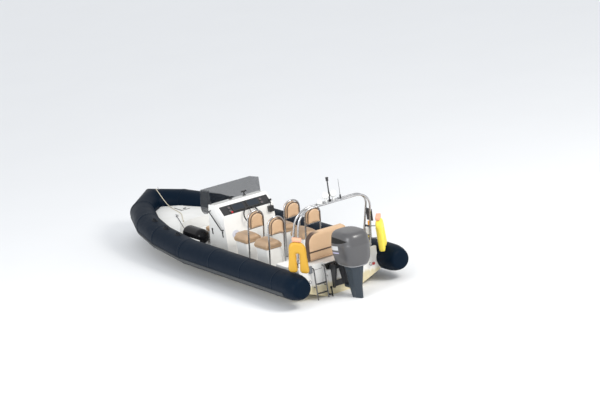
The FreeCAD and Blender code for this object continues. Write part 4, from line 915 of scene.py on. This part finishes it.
class BOAT_OT_bench(Operator):
    """Swell the bench's cushion and back and the cushion ahead of the console"""

    bl_idname = "boat.bench"
    bl_label = "Bench"

    def rest(self, voxel):
        """The bench's back, with a wider rounding at its port top corner."""
        low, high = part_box("bench_back")
        half = (high[1] - low[1]) / 2
        bm = block((REST_THICK, 2 * half, REST_HIGH), (0, 0, REST_HIGH / 2))
        top, end = 0.99 * REST_HIGH, 0.99 * half
        for side, radius in zip((1, -1), REST_ROUND):
            corner = [
                edge for edge in bm.edges
                if all(vert.co.z > top and vert.co.y * side > end for vert in edge.verts)
            ]
            rounded(bm, corner, radius, 14)
        foot = (high[0] - REST_THICK / 2 * math.cos(REST_LEAN), (low[1] + high[1]) / 2, low[2] + 0.005)
        move(bm, bm.verts, Matrix.Rotation(-REST_LEAN, 3, "Y"), foot)
        return swollen(mesh_of(bm, "rest"), BENCH_GRID * voxel, *REST_SWELL)

    def seam(self):
        """The dark seam that crosses the back of the bench."""
        low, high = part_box("bench_back")
        aft = high[0] - REST_THICK * math.cos(REST_LEAN) - REST_SEAM * math.sin(REST_LEAN)
        size = (SEAM_DEEP, high[1] - low[1] - 0.012, SEAM_HIGH)
        middle = (aft - 0.001, 0, low[2] + REST_SEAM)
        return block(size, middle, 0.004, Matrix.Rotation(-REST_LEAN, 3, "Y"))

    def execute(self, context):
        voxel = settings().pads.voxel
        for node, swell in (("console_cushion", CONSOLE_SWELL), ("bench_cushion", SEAT_SWELL)):
            show_pad(f"{node}_pad", swollen_node(node, BENCH_GRID * voxel, *swell), node)
        show_pad("bench_back_pad", self.rest(voxel), "bench_back", finish="bench_vinyl")
        show("bench_seam", mesh_of(self.seam(), "seam"), "upholstery", "trim_vinyl")
        return {"FINISHED"}


# The collar's centreline to port and its radius
COLLAR_LINE = (
    (-0.120, 1.1400, 0.430), (4.000, 1.1400, 0.435), (5.300, 1.0317, 0.485),
    (6.230, 0.8493, 0.555), (7.100, 0.5096, 0.610), (7.560, 0.0, 0.675),
)
COLLAR_RADIUS = 0.265
# A tape over a seam: half width, how proud it stands, and the width and height of its thin edge
TAPE_HALF = 0.022
TAPE_PROUD = 0.0022
TAPE_EDGE = 0.003
TAPE_THIN = 0.0004
# Rings of a blunt end: distance aft of the tube's end and share of its radius
COLLAR_END = (
    (0.10, 0.985), (0.20, 0.92), (0.30, 0.80), (0.335, 0.735), (0.352, 0.65), (0.361, 0.50), (0.364, 0.25),
)
COLLAR_STEP = 0.30
# Seams on the straight run, as shares of its length
STRAIGHT_SEAMS = (0.10, 0.40, 0.70)
# Patches with a grab handle on the bow tubes: stretch of the line and share along it
HANDLES = ((1, 0.35), (1, 0.80), (2, 0.45))
HANDLE_PATCH = (0.125, 0.062, 0.009)
HANDLE_GRIP = (
    (-0.085, 0, 0.004), (-0.070, 0, 0.020), (-0.040, 0, 0.034), (0.040, 0, 0.034), (0.070, 0, 0.020),
    (0.085, 0, 0.004),
)
HANDLE_RADIUS = 0.011


def collar_points(side):
    return [Vector((x, side * y, z)) for x, y, z in COLLAR_LINE]


def seam_tape(middle, along, cut):
    """A thin band round the tube, whose edges lie beside a cutting plane through its middle."""
    bm = bmesh.new()
    turn = along.to_track_quat("Z", "Y").to_matrix()
    inner = TAPE_HALF - TAPE_EDGE
    rings = []
    for offset, proud in ((-TAPE_HALF, TAPE_THIN), (-inner, TAPE_PROUD), (inner, TAPE_PROUD),
                          (TAPE_HALF, TAPE_THIN)):
        ring = bmesh.ops.create_circle(bm, segments=72, radius=COLLAR_RADIUS + proud)["verts"]
        move(bm, ring, turn)
        for vert in ring:
            vert.co -= along * (vert.co.dot(cut) / along.dot(cut) - offset)
        rings.append(ring)
    skin(bm, rings, closed=False)
    move(bm, bm.verts, shift=middle)
    return bm


def mitred_ring(bm, middle, along, cut, radius):
    """A circle round a line, slid along it on to a cutting plane through its middle."""
    ring = bmesh.ops.create_circle(bm, segments=72, radius=radius)["verts"]
    across = Vector((0, 0, 1)).cross(along).normalized()
    move(bm, ring, Matrix((across, along.cross(across), along)).transposed())
    for vert in ring:
        vert.co -= along * (vert.co.dot(cut) / along.dot(cut))
    move(bm, ring, shift=middle)
    return ring


def blunt_end(start, into):
    """Places, direction and radii of the rings that close a tube, from its end outwards."""
    aft = -into.normalized()
    return [(start + aft * run, aft, COLLAR_RADIUS * share) for run, share in COLLAR_END]


def collar_mesh():
    """The whole collar: a mitred tube from one blunt end round the bow to the other."""
    bm = bmesh.new()
    points = collar_points(1) + collar_points(-1)[-2::-1]
    rings = []
    for place, aft, radius in reversed(blunt_end(points[0], points[1] - points[0])):
        rings.append(mitred_ring(bm, place, -aft, -aft, radius))
    for index, corner in enumerate(points):
        into = (corner - points[index - 1]).normalized() if index else None
        out = (points[index + 1] - corner).normalized() if index + 1 < len(points) else None
        along = into or out
        cut = (into + out).normalized() if into and out else along
        if into:
            before = points[index - 1]
            steps = max(2, int((corner - before).length / COLLAR_STEP))
            for step in range(1, steps):
                middle = before.lerp(corner, step / steps)
                if min((middle - before).length, (corner - middle).length) > 1.2 * COLLAR_RADIUS:
                    rings.append(mitred_ring(bm, middle, along, along, COLLAR_RADIUS))
        rings.append(mitred_ring(bm, corner, along, cut, COLLAR_RADIUS))
    for place, aft, radius in blunt_end(points[-1], points[-2] - points[-1]):
        rings.append(mitred_ring(bm, place, aft, aft, radius))
    skin(bm, rings)
    return mesh_of(bm, "collar")


class BOAT_OT_collar(Operator):
    """Inflate the collar, tape its seams and fit its patches and grab handles"""

    bl_idname = "boat.collar"
    bl_label = "Collar"

    def tapes(self, side):
        points = collar_points(side)
        made = []
        start, end = points[:2]
        along = (end - start).normalized()
        for share in STRAIGHT_SEAMS:
            made.append(seam_tape(start.lerp(end, share), along, along))
        for before, corner, after in zip(points, points[1:], points[2:]):
            into = (corner - before).normalized()
            out = (after - corner).normalized()
            cut = (into + out).normalized()
            made.append(seam_tape(corner - into * TAPE_HALF, into, cut))
            made.append(seam_tape(corner + out * TAPE_HALF, out, cut))
        return made

    def handle(self, side, stretch, share):
        """An oval patch on the tube's crown and the strap over it."""
        points = collar_points(side)
        start, end = points[stretch], points[stretch + 1]
        along = (end - start).normalized()
        across = Vector((0, 0, 1)).cross(along).normalized()
        upward = along.cross(across)
        crown = start.lerp(end, share) + upward * (COLLAR_RADIUS + 0.001)
        turn = Matrix((along, across, upward)).transposed()
        patch = bmesh.new()
        bmesh.ops.create_uvsphere(patch, u_segments=32, v_segments=10, radius=1.0)
        bmesh.ops.scale(patch, verts=patch.verts, vec=HANDLE_PATCH)
        for vert in patch.verts:
            vert.co.z -= vert.co.y ** 2 / (2 * COLLAR_RADIUS)
        move(patch, patch.verts, turn, crown)
        strap = bmesh.new()
        line = [crown + turn @ Vector(place) for place in HANDLE_GRIP]
        strap.from_mesh(bent_bar("grip", line, HANDLE_RADIUS))
        return [patch, strap]

    def execute(self, context):
        tapes, handles = [], []
        for side in (1, -1):
            tapes += self.tapes(side)
            for stretch, share in HANDLES:
                handles += self.handle(side, stretch, share)
        collar = show("collar_skin", collar_mesh(), "collar_fabric")
        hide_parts("tube_aft_port", "tube_aft_stbd", "tube_fore_port", "tube_fore_stbd", "tube_bow")
        fit("collar_tapes", tapes, "collar_fabric", sharp=False)
        fit("grab_handles", handles, "black_rubber", "grip_rubber", sharp=False)
        return {"FINISHED"}


# How far the port lifebuoy leans to port for each metre of height, and the height over its foot at which
# the arch's bracket holds it
BUOY_LEAN = 0.20
BUOY_HELD = 0.19


def leant(mesh):
    """A mesh with what hangs to port leant about the height at which the bracket holds it."""
    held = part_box("lifebuoy_port")[0][2] + BUOY_HELD
    for vert in mesh.vertices:
        if vert.co.y > 0:
            vert.co.y += BUOY_LEAN * (vert.co.z - held)
    return mesh


class BOAT_OT_lifebuoys(Operator):
    """Swell the two horseshoe lifebuoys and their floats"""

    bl_idname = "boat.lifebuoys"
    bl_label = "Lifebuoys"

    def execute(self, context):
        voxel = settings().pads.voxel
        for node in ("lifebuoy_port", "lifebuoy_stbd"):
            cover = leant(swollen_node(node, voxel, *BUOY_SWELL))
            show_pad(f"{node}_cover", cover, node, "buoy_yellow")
        floats = leant(swollen_node("lifebuoy_floats", voxel, *FLOAT_SWELL))
        show_pad("lifebuoy_float_blocks", floats, "lifebuoy_floats", "float_pink")
        return {"FINISHED"}


# Helm and console. The dash's slope, and half the width and half the length of its face
DASH_RISE = math.atan2(0.170, 0.200)
DASH_TURN = Matrix.Rotation(-DASH_RISE, 3, "Y")
DASH_HALF = 0.565
DASH_UP = 0.116
# Screens: share of the half width to port, share of the half length up, and size across and along
SCREENS = ((0.30, 0.06, 0.300, 0.180), (-0.32, 0.06, 0.300, 0.180))
DIALS = ((0.66, 0.34), (0.66, -0.40), (-0.66, 0.34), (-0.66, -0.40))
DIAL_RADIUS = 0.040
NEEDLE = (0.030, 0.003, 0.001)
# A row of switches: how many, size, step and place up the slope, and the kill switch's place and radius
SWITCHES = 7
SWITCH = (0.026, 0.016, 0.012)
SWITCH_STEP = 0.034
SWITCH_ROW = -0.094
KILL_SWITCH = (-0.085, 0.36)
KILL_RADIUS = 0.022
# Fittings on the console's crest, aft of the windscreen
SHELF_KNOB = (3.790, -0.203, 1.327)
SHELF_PLUG = (3.790, 0.130, 1.327)
# Latches on the console's port face: places, and sizes of handle and plate
LATCHES = ((3.447, 0.745), (3.866, 0.749))
LATCH_HANDLE = (0.030, 0.016, 0.110)
LATCH_PLATE = (0.050, 0.008, 0.040)
LATCH_TURN = Matrix.Rotation(0.10, 3, "Y")
# The round cover on its aft face, which leans
COVER = (3.322, 0.369, 0.723)
COVER_RADIUS = 0.085
CATCH_RADIUS = 0.016
COVER_TURN = Matrix.Rotation(math.atan2(0.040, 0.915) - math.pi / 2, 3, "Y")


def on_dash(up, side, out=0.0):
    """A place up the dash's slope, to port and out of its face."""
    low, high = (Vector(corner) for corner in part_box("dash_panel"))
    return (low + high) / 2 + DASH_TURN @ Vector((up, side, out + 0.004))


class BOAT_OT_helm(Operator):
    """Fit the dash's screens, dials and switches, and the console's small fittings"""

    bl_idname = "boat.helm"
    bl_label = "Helm"

    def dash(self):
        bezels, glass, dials, red = [], [], [], []
        for side, lift, wide, high in SCREENS:
            place = (lift * DASH_UP, side * DASH_HALF)
            bezels.append(block((high, wide, 0.022), on_dash(*place, 0.006), 0.006, DASH_TURN))
            glass.append(block((high - 0.040, wide - 0.050, 0.003), on_dash(*place, 0.017), 0.0, DASH_TURN))
        for side, lift in DIALS:
            place = (lift * DASH_UP, side * DASH_HALF)
            bezels.append(rod(DIAL_RADIUS, 0.012, on_dash(*place), DASH_TURN, 0.003))
            dials.append(rod(DIAL_RADIUS - 0.009, 0.0135, on_dash(*place), DASH_TURN))
            swing = DASH_TURN @ Matrix.Rotation(side + lift, 3, "Z")
            red.append(block(NEEDLE, on_dash(*place, 0.0145), 0.0, swing))
        for number in range(SWITCHES):
            across = (number - (SWITCHES - 1) / 2) * SWITCH_STEP
            bezels.append(block(SWITCH, on_dash(SWITCH_ROW, across, 0.006), 0.003, DASH_TURN))
        red.append(rod(KILL_RADIUS, 0.024, on_dash(*KILL_SWITCH), DASH_TURN, 0.004))
        fit("dash_bezels", bezels, "black_panel", "black_rubber")
        fit("dash_screens", glass, "black_panel", "screen_glass")
        fit("dash_dials", dials, "black_panel", "dial_face")
        fit("kill_switch", red, "black_panel", "red_plastic")

    def shelf(self):
        knob = Vector(SHELF_KNOB)
        parts = [
            rod(0.034, 0.016, knob, round_by=0.004), rod(0.014, 0.085, knob),
            block((0.034, 0.130, 0.030), knob + Vector((0, 0, 0.090)), 0.010),
            rod(0.036, 0.022, SHELF_PLUG, round_by=0.006),
        ]
        fit("shelf_fittings", parts, "black_panel", "black_rubber")

    def faces(self):
        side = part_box("console")[1][1]
        latches = []
        for x, z in LATCHES:
            latches.append(block(LATCH_HANDLE, (x, side + 0.006, z), 0.006, LATCH_TURN))
            latches.append(block(LATCH_PLATE, (x, side + 0.003, z + 0.055), 0.003))
        fit("console_latches", latches, "black_panel", "black_rubber")
        cover = rod(COVER_RADIUS, 0.008, COVER, COVER_TURN, 0.003)
        fit("console_cover", [cover], "console_gelcoat", "pale_moulding")
        catch = rod(CATCH_RADIUS, 0.016, COVER, COVER_TURN, 0.004)
        fit("cover_catch", [catch], "black_panel", "black_rubber")

    def execute(self, context):
        self.dash()
        self.shelf()
        self.faces()
        return {"FINISHED"}


# Deck: width of the lid's seal, height of the deck round it, and size of the latch
SEAL = 0.006
DECK_TOP = 0.600
LID_LATCH = (0.050, 0.060, 0.010)


class BOAT_OT_deck(Operator):
    """Seal the locker lid and fit its latch"""

    bl_idname = "boat.deck"
    bl_label = "Deck"

    def execute(self, context):
        low, high = (Vector(corner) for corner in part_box("locker_lid"))
        middle = (low + high) / 2
        z = DECK_TOP + 0.005
        size = (high.x - low.x - 0.02, SEAL, 0.010)
        strips = [block(size, (middle.x - 0.01, y, z), 0.002) for y in (low.y - SEAL, high.y + SEAL)]
        size = (SEAL, high.y - low.y + 3 * SEAL, 0.010)
        strips.append(block(size, (low.x - SEAL, middle.y, z), 0.002))
        fit("lid_seal", strips, "black_rubber", sharp=False)
        latch = block(LID_LATCH, (low.x + 0.040, middle.y, DECK_TOP + 0.0235), 0.003)
        fit("lid_latch", [latch], "black_panel", "black_rubber", body="lid")
        return {"FINISHED"}


# Engine: rings of the cowl from below: height, fore end, aft end and half width
COWL_RINGS = (
    (0.668, -0.205, -0.875, 0.205), (0.672, -0.190, -0.890, 0.220), (0.700, -0.180, -0.905, 0.240),
    (0.800, -0.158, -0.952, 0.288), (0.960, -0.156, -0.966, 0.302), (1.118, -0.164, -0.974, 0.308),
    (1.134, -0.172, -0.968, 0.303), (1.142, -0.176, -0.965, 0.300), (1.230, -0.184, -0.958, 0.294),
    (1.300, -0.212, -0.935, 0.276), (1.345, -0.262, -0.895, 0.240), (1.362, -0.340, -0.835, 0.185),
)
COWL_POWER = 3.0
# Rigging hoses from the cut-out in the transom to the swivel bracket: route and radius
HOSES = {
    "steering_hose": ((
        (0.10, 0.150, 0.520), (0.02, 0.158, 0.580), (-0.08, 0.150, 0.650), (-0.16, 0.110, 0.655),
        (-0.215, 0.060, 0.615),
    ), 0.014),
    "fuel_hose": ((
        (0.10, 0.100, 0.520), (0.02, 0.108, 0.565), (-0.07, 0.100, 0.640), (-0.15, 0.070, 0.650),
        (-0.215, 0.030, 0.612),
    ), 0.010),
}


def cowl_ring(bm, height, fore, aft, half):
    """A closed ring between an ellipse and a rectangle."""
    ring = bmesh.ops.create_circle(bm, segments=48, radius=1.0)["verts"]
    for vert in ring:
        x, y = vert.co.x, vert.co.y
        grow = (abs(x) ** COWL_POWER + abs(y) ** COWL_POWER) ** (-1 / COWL_POWER)
        vert.co = ((fore + aft) / 2 + x * grow * (fore - aft) / 2, y * grow * half, height)
    return ring


class BOAT_OT_engine(Operator):
    """Mould the engine's cowl and hang its hoses"""

    bl_idname = "boat.engine"
    bl_label = "Engine"

    def execute(self, context):
        bm = bmesh.new()
        skin(bm, [cowl_ring(bm, *ring) for ring in COWL_RINGS])
        cowl = show("cowl_moulding", mesh_of(bm, "cowl_moulding"), "cowl_grey", body="steering")
        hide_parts("cowl")
        soft = cowl.modifiers.new("Soft", "SUBSURF")
        soft.levels = soft.render_levels = 1
        for name, (points, radius) in HOSES.items():
            hose = show(name, bent_bar(name, points, radius), "black_rubber", body=None)
            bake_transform(hose)
        return {"FINISHED"}


# Blocks by size, middle and rounding: lines of the transom's panel, treads of the ladder, the grey pad over
# the corner, the red socket, and the panel on the arch
TRANSOM_LINES = (
    ((0.006, 0.200, 0.006), (-0.002, 0.480, 0.585), 0.002),
    ((0.006, 0.006, 0.230), (-0.002, 0.325, 0.470), 0.002),
)
LADDER_TREADS = (
    ((0.052, 0.190, 0.020), (-0.100, 0.490, 0.130), 0.006),
    ((0.052, 0.190, 0.020), (-0.100, 0.490, 0.320), 0.006),
)
CORNER_PAD = ((0.050, 0.075, 0.150), (-0.024, 0.655, 0.620), 0.015)
TRANSOM_SOCKET = ((0.024, 0.060, 0.050), (-0.011, -0.790, 0.365), 0.008)
ARCH_PANEL = ((0.190, 0.030, 0.240), (0.0, -0.850, 1.360), 0.006)
# Straps round the gear: their size and heights over its foot, and the marker light's case
STRAP = (0.190, 0.004, 0.030)
STRAP_HEIGHTS = (0.0930, 0.1922)
CASE = (0.085, 0.050, 0.150)
CASE_HEIGHT = 1.025


class BOAT_OT_transom(Operator):
    """Fit the transom's small mouldings"""

    bl_idname = "boat.transom"
    bl_label = "Transom"

    def execute(self, context):
        fit("transom_lines", [block(*line) for line in TRANSOM_LINES], "black_rubber", sharp=False)
        fit("ladder_treads", [block(*tread) for tread in LADDER_TREADS], "black_rubber", sharp=False)
        fit("corner_pad", [block(*CORNER_PAD)], "black_rubber", "pad_grey")
        fit("transom_socket", [block(*TRANSOM_SOCKET)], "black_rubber", "red_plastic")
        return {"FINISHED"}


class BOAT_OT_arch(Operator):
    """Strap the gear in the starboard side of the arch"""

    bl_idname = "boat.arch"
    bl_label = "Arch"

    def execute(self, context):
        low, high = (Vector(corner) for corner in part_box("arch_gear"))
        x, y = (low.x + high.x) / 2, high.y + 0.001
        straps = [block(STRAP, (x, y, low.z + height), 0.001) for height in STRAP_HEIGHTS]
        fit("gear_straps", straps, "aerial_black", "strap_yellow", sharp=False)
        fit("arch_panel", [block(*ARCH_PANEL)], "aerial_black")
        case = block(CASE, (0.085, high.y + 0.022, CASE_HEIGHT), 0.012)
        fit("marker_case", [case], "lamp_white")
        return {"FINISHED"}


# Stage

# The point that the camera faces
AIM = (0.5556, 0.3388, 1.8669)
# Lamps by place, width, power and colour, and the point that they light
LAMPS = {
    "key": ((-12.0, -4.0, 12.5), 6.0, 1900.0, (1.0, 0.98, 0.94)),
    "fill": ((-4.0, 15.0, 6.0), 9.0, 1250.0, (0.96, 0.98, 1.0)),
}
LIT = (3.0, 0.0, 0.5)
SKY = (0.93, 0.96, 1.0)
SKY_STRENGTH = 0.95


def camera_axes(azimuth, elevation, roll):
    """The view's direction, its right and its up."""
    flat = math.cos(elevation)
    ahead = Vector((math.cos(azimuth) * flat, -math.sin(azimuth) * flat, -math.sin(elevation)))
    level = Vector((-math.sin(azimuth), -math.cos(azimuth), 0.0))
    upright = level.cross(ahead)
    right = level * math.cos(roll) - upright * math.sin(roll)
    up = level * math.sin(roll) + upright * math.cos(roll)
    return ahead, right, up


def lamp(name, place, size, energy, colour):
    light = bpy.data.lights.new(name, "AREA")
    light.shape = "DISK"
    light.size = size
    light.energy = energy
    light.color = colour
    holder = bpy.data.objects.new(name, light)
    bpy.context.scene.collection.objects.link(holder)
    holder.location = place
    holder.rotation_euler = (Vector(LIT) - Vector(place)).to_track_quat("-Z", "Y").to_euler()


class BOAT_OT_camera(Operator):
    """Set the camera where the photograph was taken"""

    bl_idname = "boat.camera"
    bl_label = "Camera"

    def execute(self, context):
        view = settings().camera
        ahead, right, up = camera_axes(view.azimuth, view.elevation, view.roll)
        data = bpy.data.cameras.new("photo_camera")
        data.sensor_width = 36.0
        data.lens = view.lens
        data.clip_end = 400.0
        camera = bpy.data.objects.new("photo_camera", data)
        context.scene.collection.objects.link(camera)
        turn = Matrix((right, up, -ahead)).transposed().to_4x4()
        camera.matrix_world = Matrix.Translation(Vector(AIM) - ahead * view.distance) @ turn
        context.scene.camera = camera
        return {"FINISHED"}


class BOAT_OT_stage(Operator):
    """Lay the pale floor at the waterline and light the boat softly"""

    bl_idname = "boat.stage"
    bl_label = "Stage"

    def execute(self, context):
        bm = bmesh.new()
        bmesh.ops.create_grid(bm, x_segments=1, y_segments=1, size=150.0)
        mesh = bpy.data.meshes.new("floor")
        bm.to_mesh(mesh)
        bm.free()
        floor = bpy.data.objects.new("floor", mesh)
        context.scene.collection.objects.link(floor)
        paint = Finish("floor_pale")
        tone = paint.blend(paint.noise(0.5), (0.86, 0.86, 0.86), (0.84, 0.84, 0.84))
        mesh.materials.append(paint.surface(tone, 0.9))
        for name, row in LAMPS.items():
            lamp(name, *row)
        world = bpy.data.worlds.new("studio")
        context.scene.world = world
        world.use_nodes = True
        tree = world.node_tree
        tree.nodes.clear()
        sky = tree.nodes.new("ShaderNodeBackground")
        sky.inputs["Color"].default_value = (*SKY, 1.0)
        sky.inputs["Strength"].default_value = SKY_STRENGTH
        white = tree.nodes.new("ShaderNodeBackground")
        white.inputs["Strength"].default_value = 1.0
        path = tree.nodes.new("ShaderNodeLightPath")
        rays = Flow(tree, path.outputs["Is Camera Ray"])
        rays = rays + Flow(tree, path.outputs["Is Glossy Ray"])
        rays = (rays + Flow(tree, path.outputs["Is Transmission Ray"])).clamped()
        mix = tree.nodes.new("ShaderNodeMixShader")
        out = tree.nodes.new("ShaderNodeOutputWorld")
        tree.links.new(rays.socket, mix.inputs[0])
        tree.links.new(sky.outputs[0], mix.inputs[1])
        tree.links.new(white.outputs[0], mix.inputs[2])
        tree.links.new(mix.outputs[0], out.inputs["Surface"])
        context.scene.view_settings.view_transform = "Standard"
        return {"FINISHED"}


class BOAT_PT_panel(Panel):
    """Lists the steps that build the boat"""

    bl_idname = "BOAT_PT_panel"
    bl_label = "Rigid inflatable boat"
    bl_space_type = "VIEW_3D"
    bl_region_type = "UI"
    bl_category = "Boat"

    def draw(self, context):
        column = self.layout.column()
        for step in STEPS:
            column.operator(step.bl_idname)
        for group in (settings().finish, settings().camera, settings().pads):
            box = self.layout.box()
            for name in group.bl_rna.properties.keys():
                if name not in ("rna_type", "name"):
                    box.prop(group, name)


STEPS = (
    BOAT_OT_camera,
    BOAT_OT_finishes,
    BOAT_OT_cords,
    BOAT_OT_collar,
    BOAT_OT_seats,
    BOAT_OT_bench,
    BOAT_OT_lifebuoys,
    BOAT_OT_helm,
    BOAT_OT_deck,
    BOAT_OT_engine,
    BOAT_OT_transom,
    BOAT_OT_arch,
    BOAT_OT_stage,
)
GROUPS = (BoatFinishSettings, BoatCameraSettings, BoatPadSettings, Settings)


def register():
    for kind in (*GROUPS, *STEPS, BOAT_PT_panel):
        bpy.utils.register_class(kind)
    bpy.types.Scene.rib_boat = PointerProperty(type=Settings)


def unregister():
    del bpy.types.Scene.rib_boat
    for kind in reversed((*GROUPS, *STEPS, BOAT_PT_panel)):
        bpy.utils.unregister_class(kind)


def main():
    register()
    for step in STEPS:
        group, name = step.bl_idname.split(".")
        getattr(getattr(bpy.ops, group), name)()


if __name__ == "__main__":
    main()
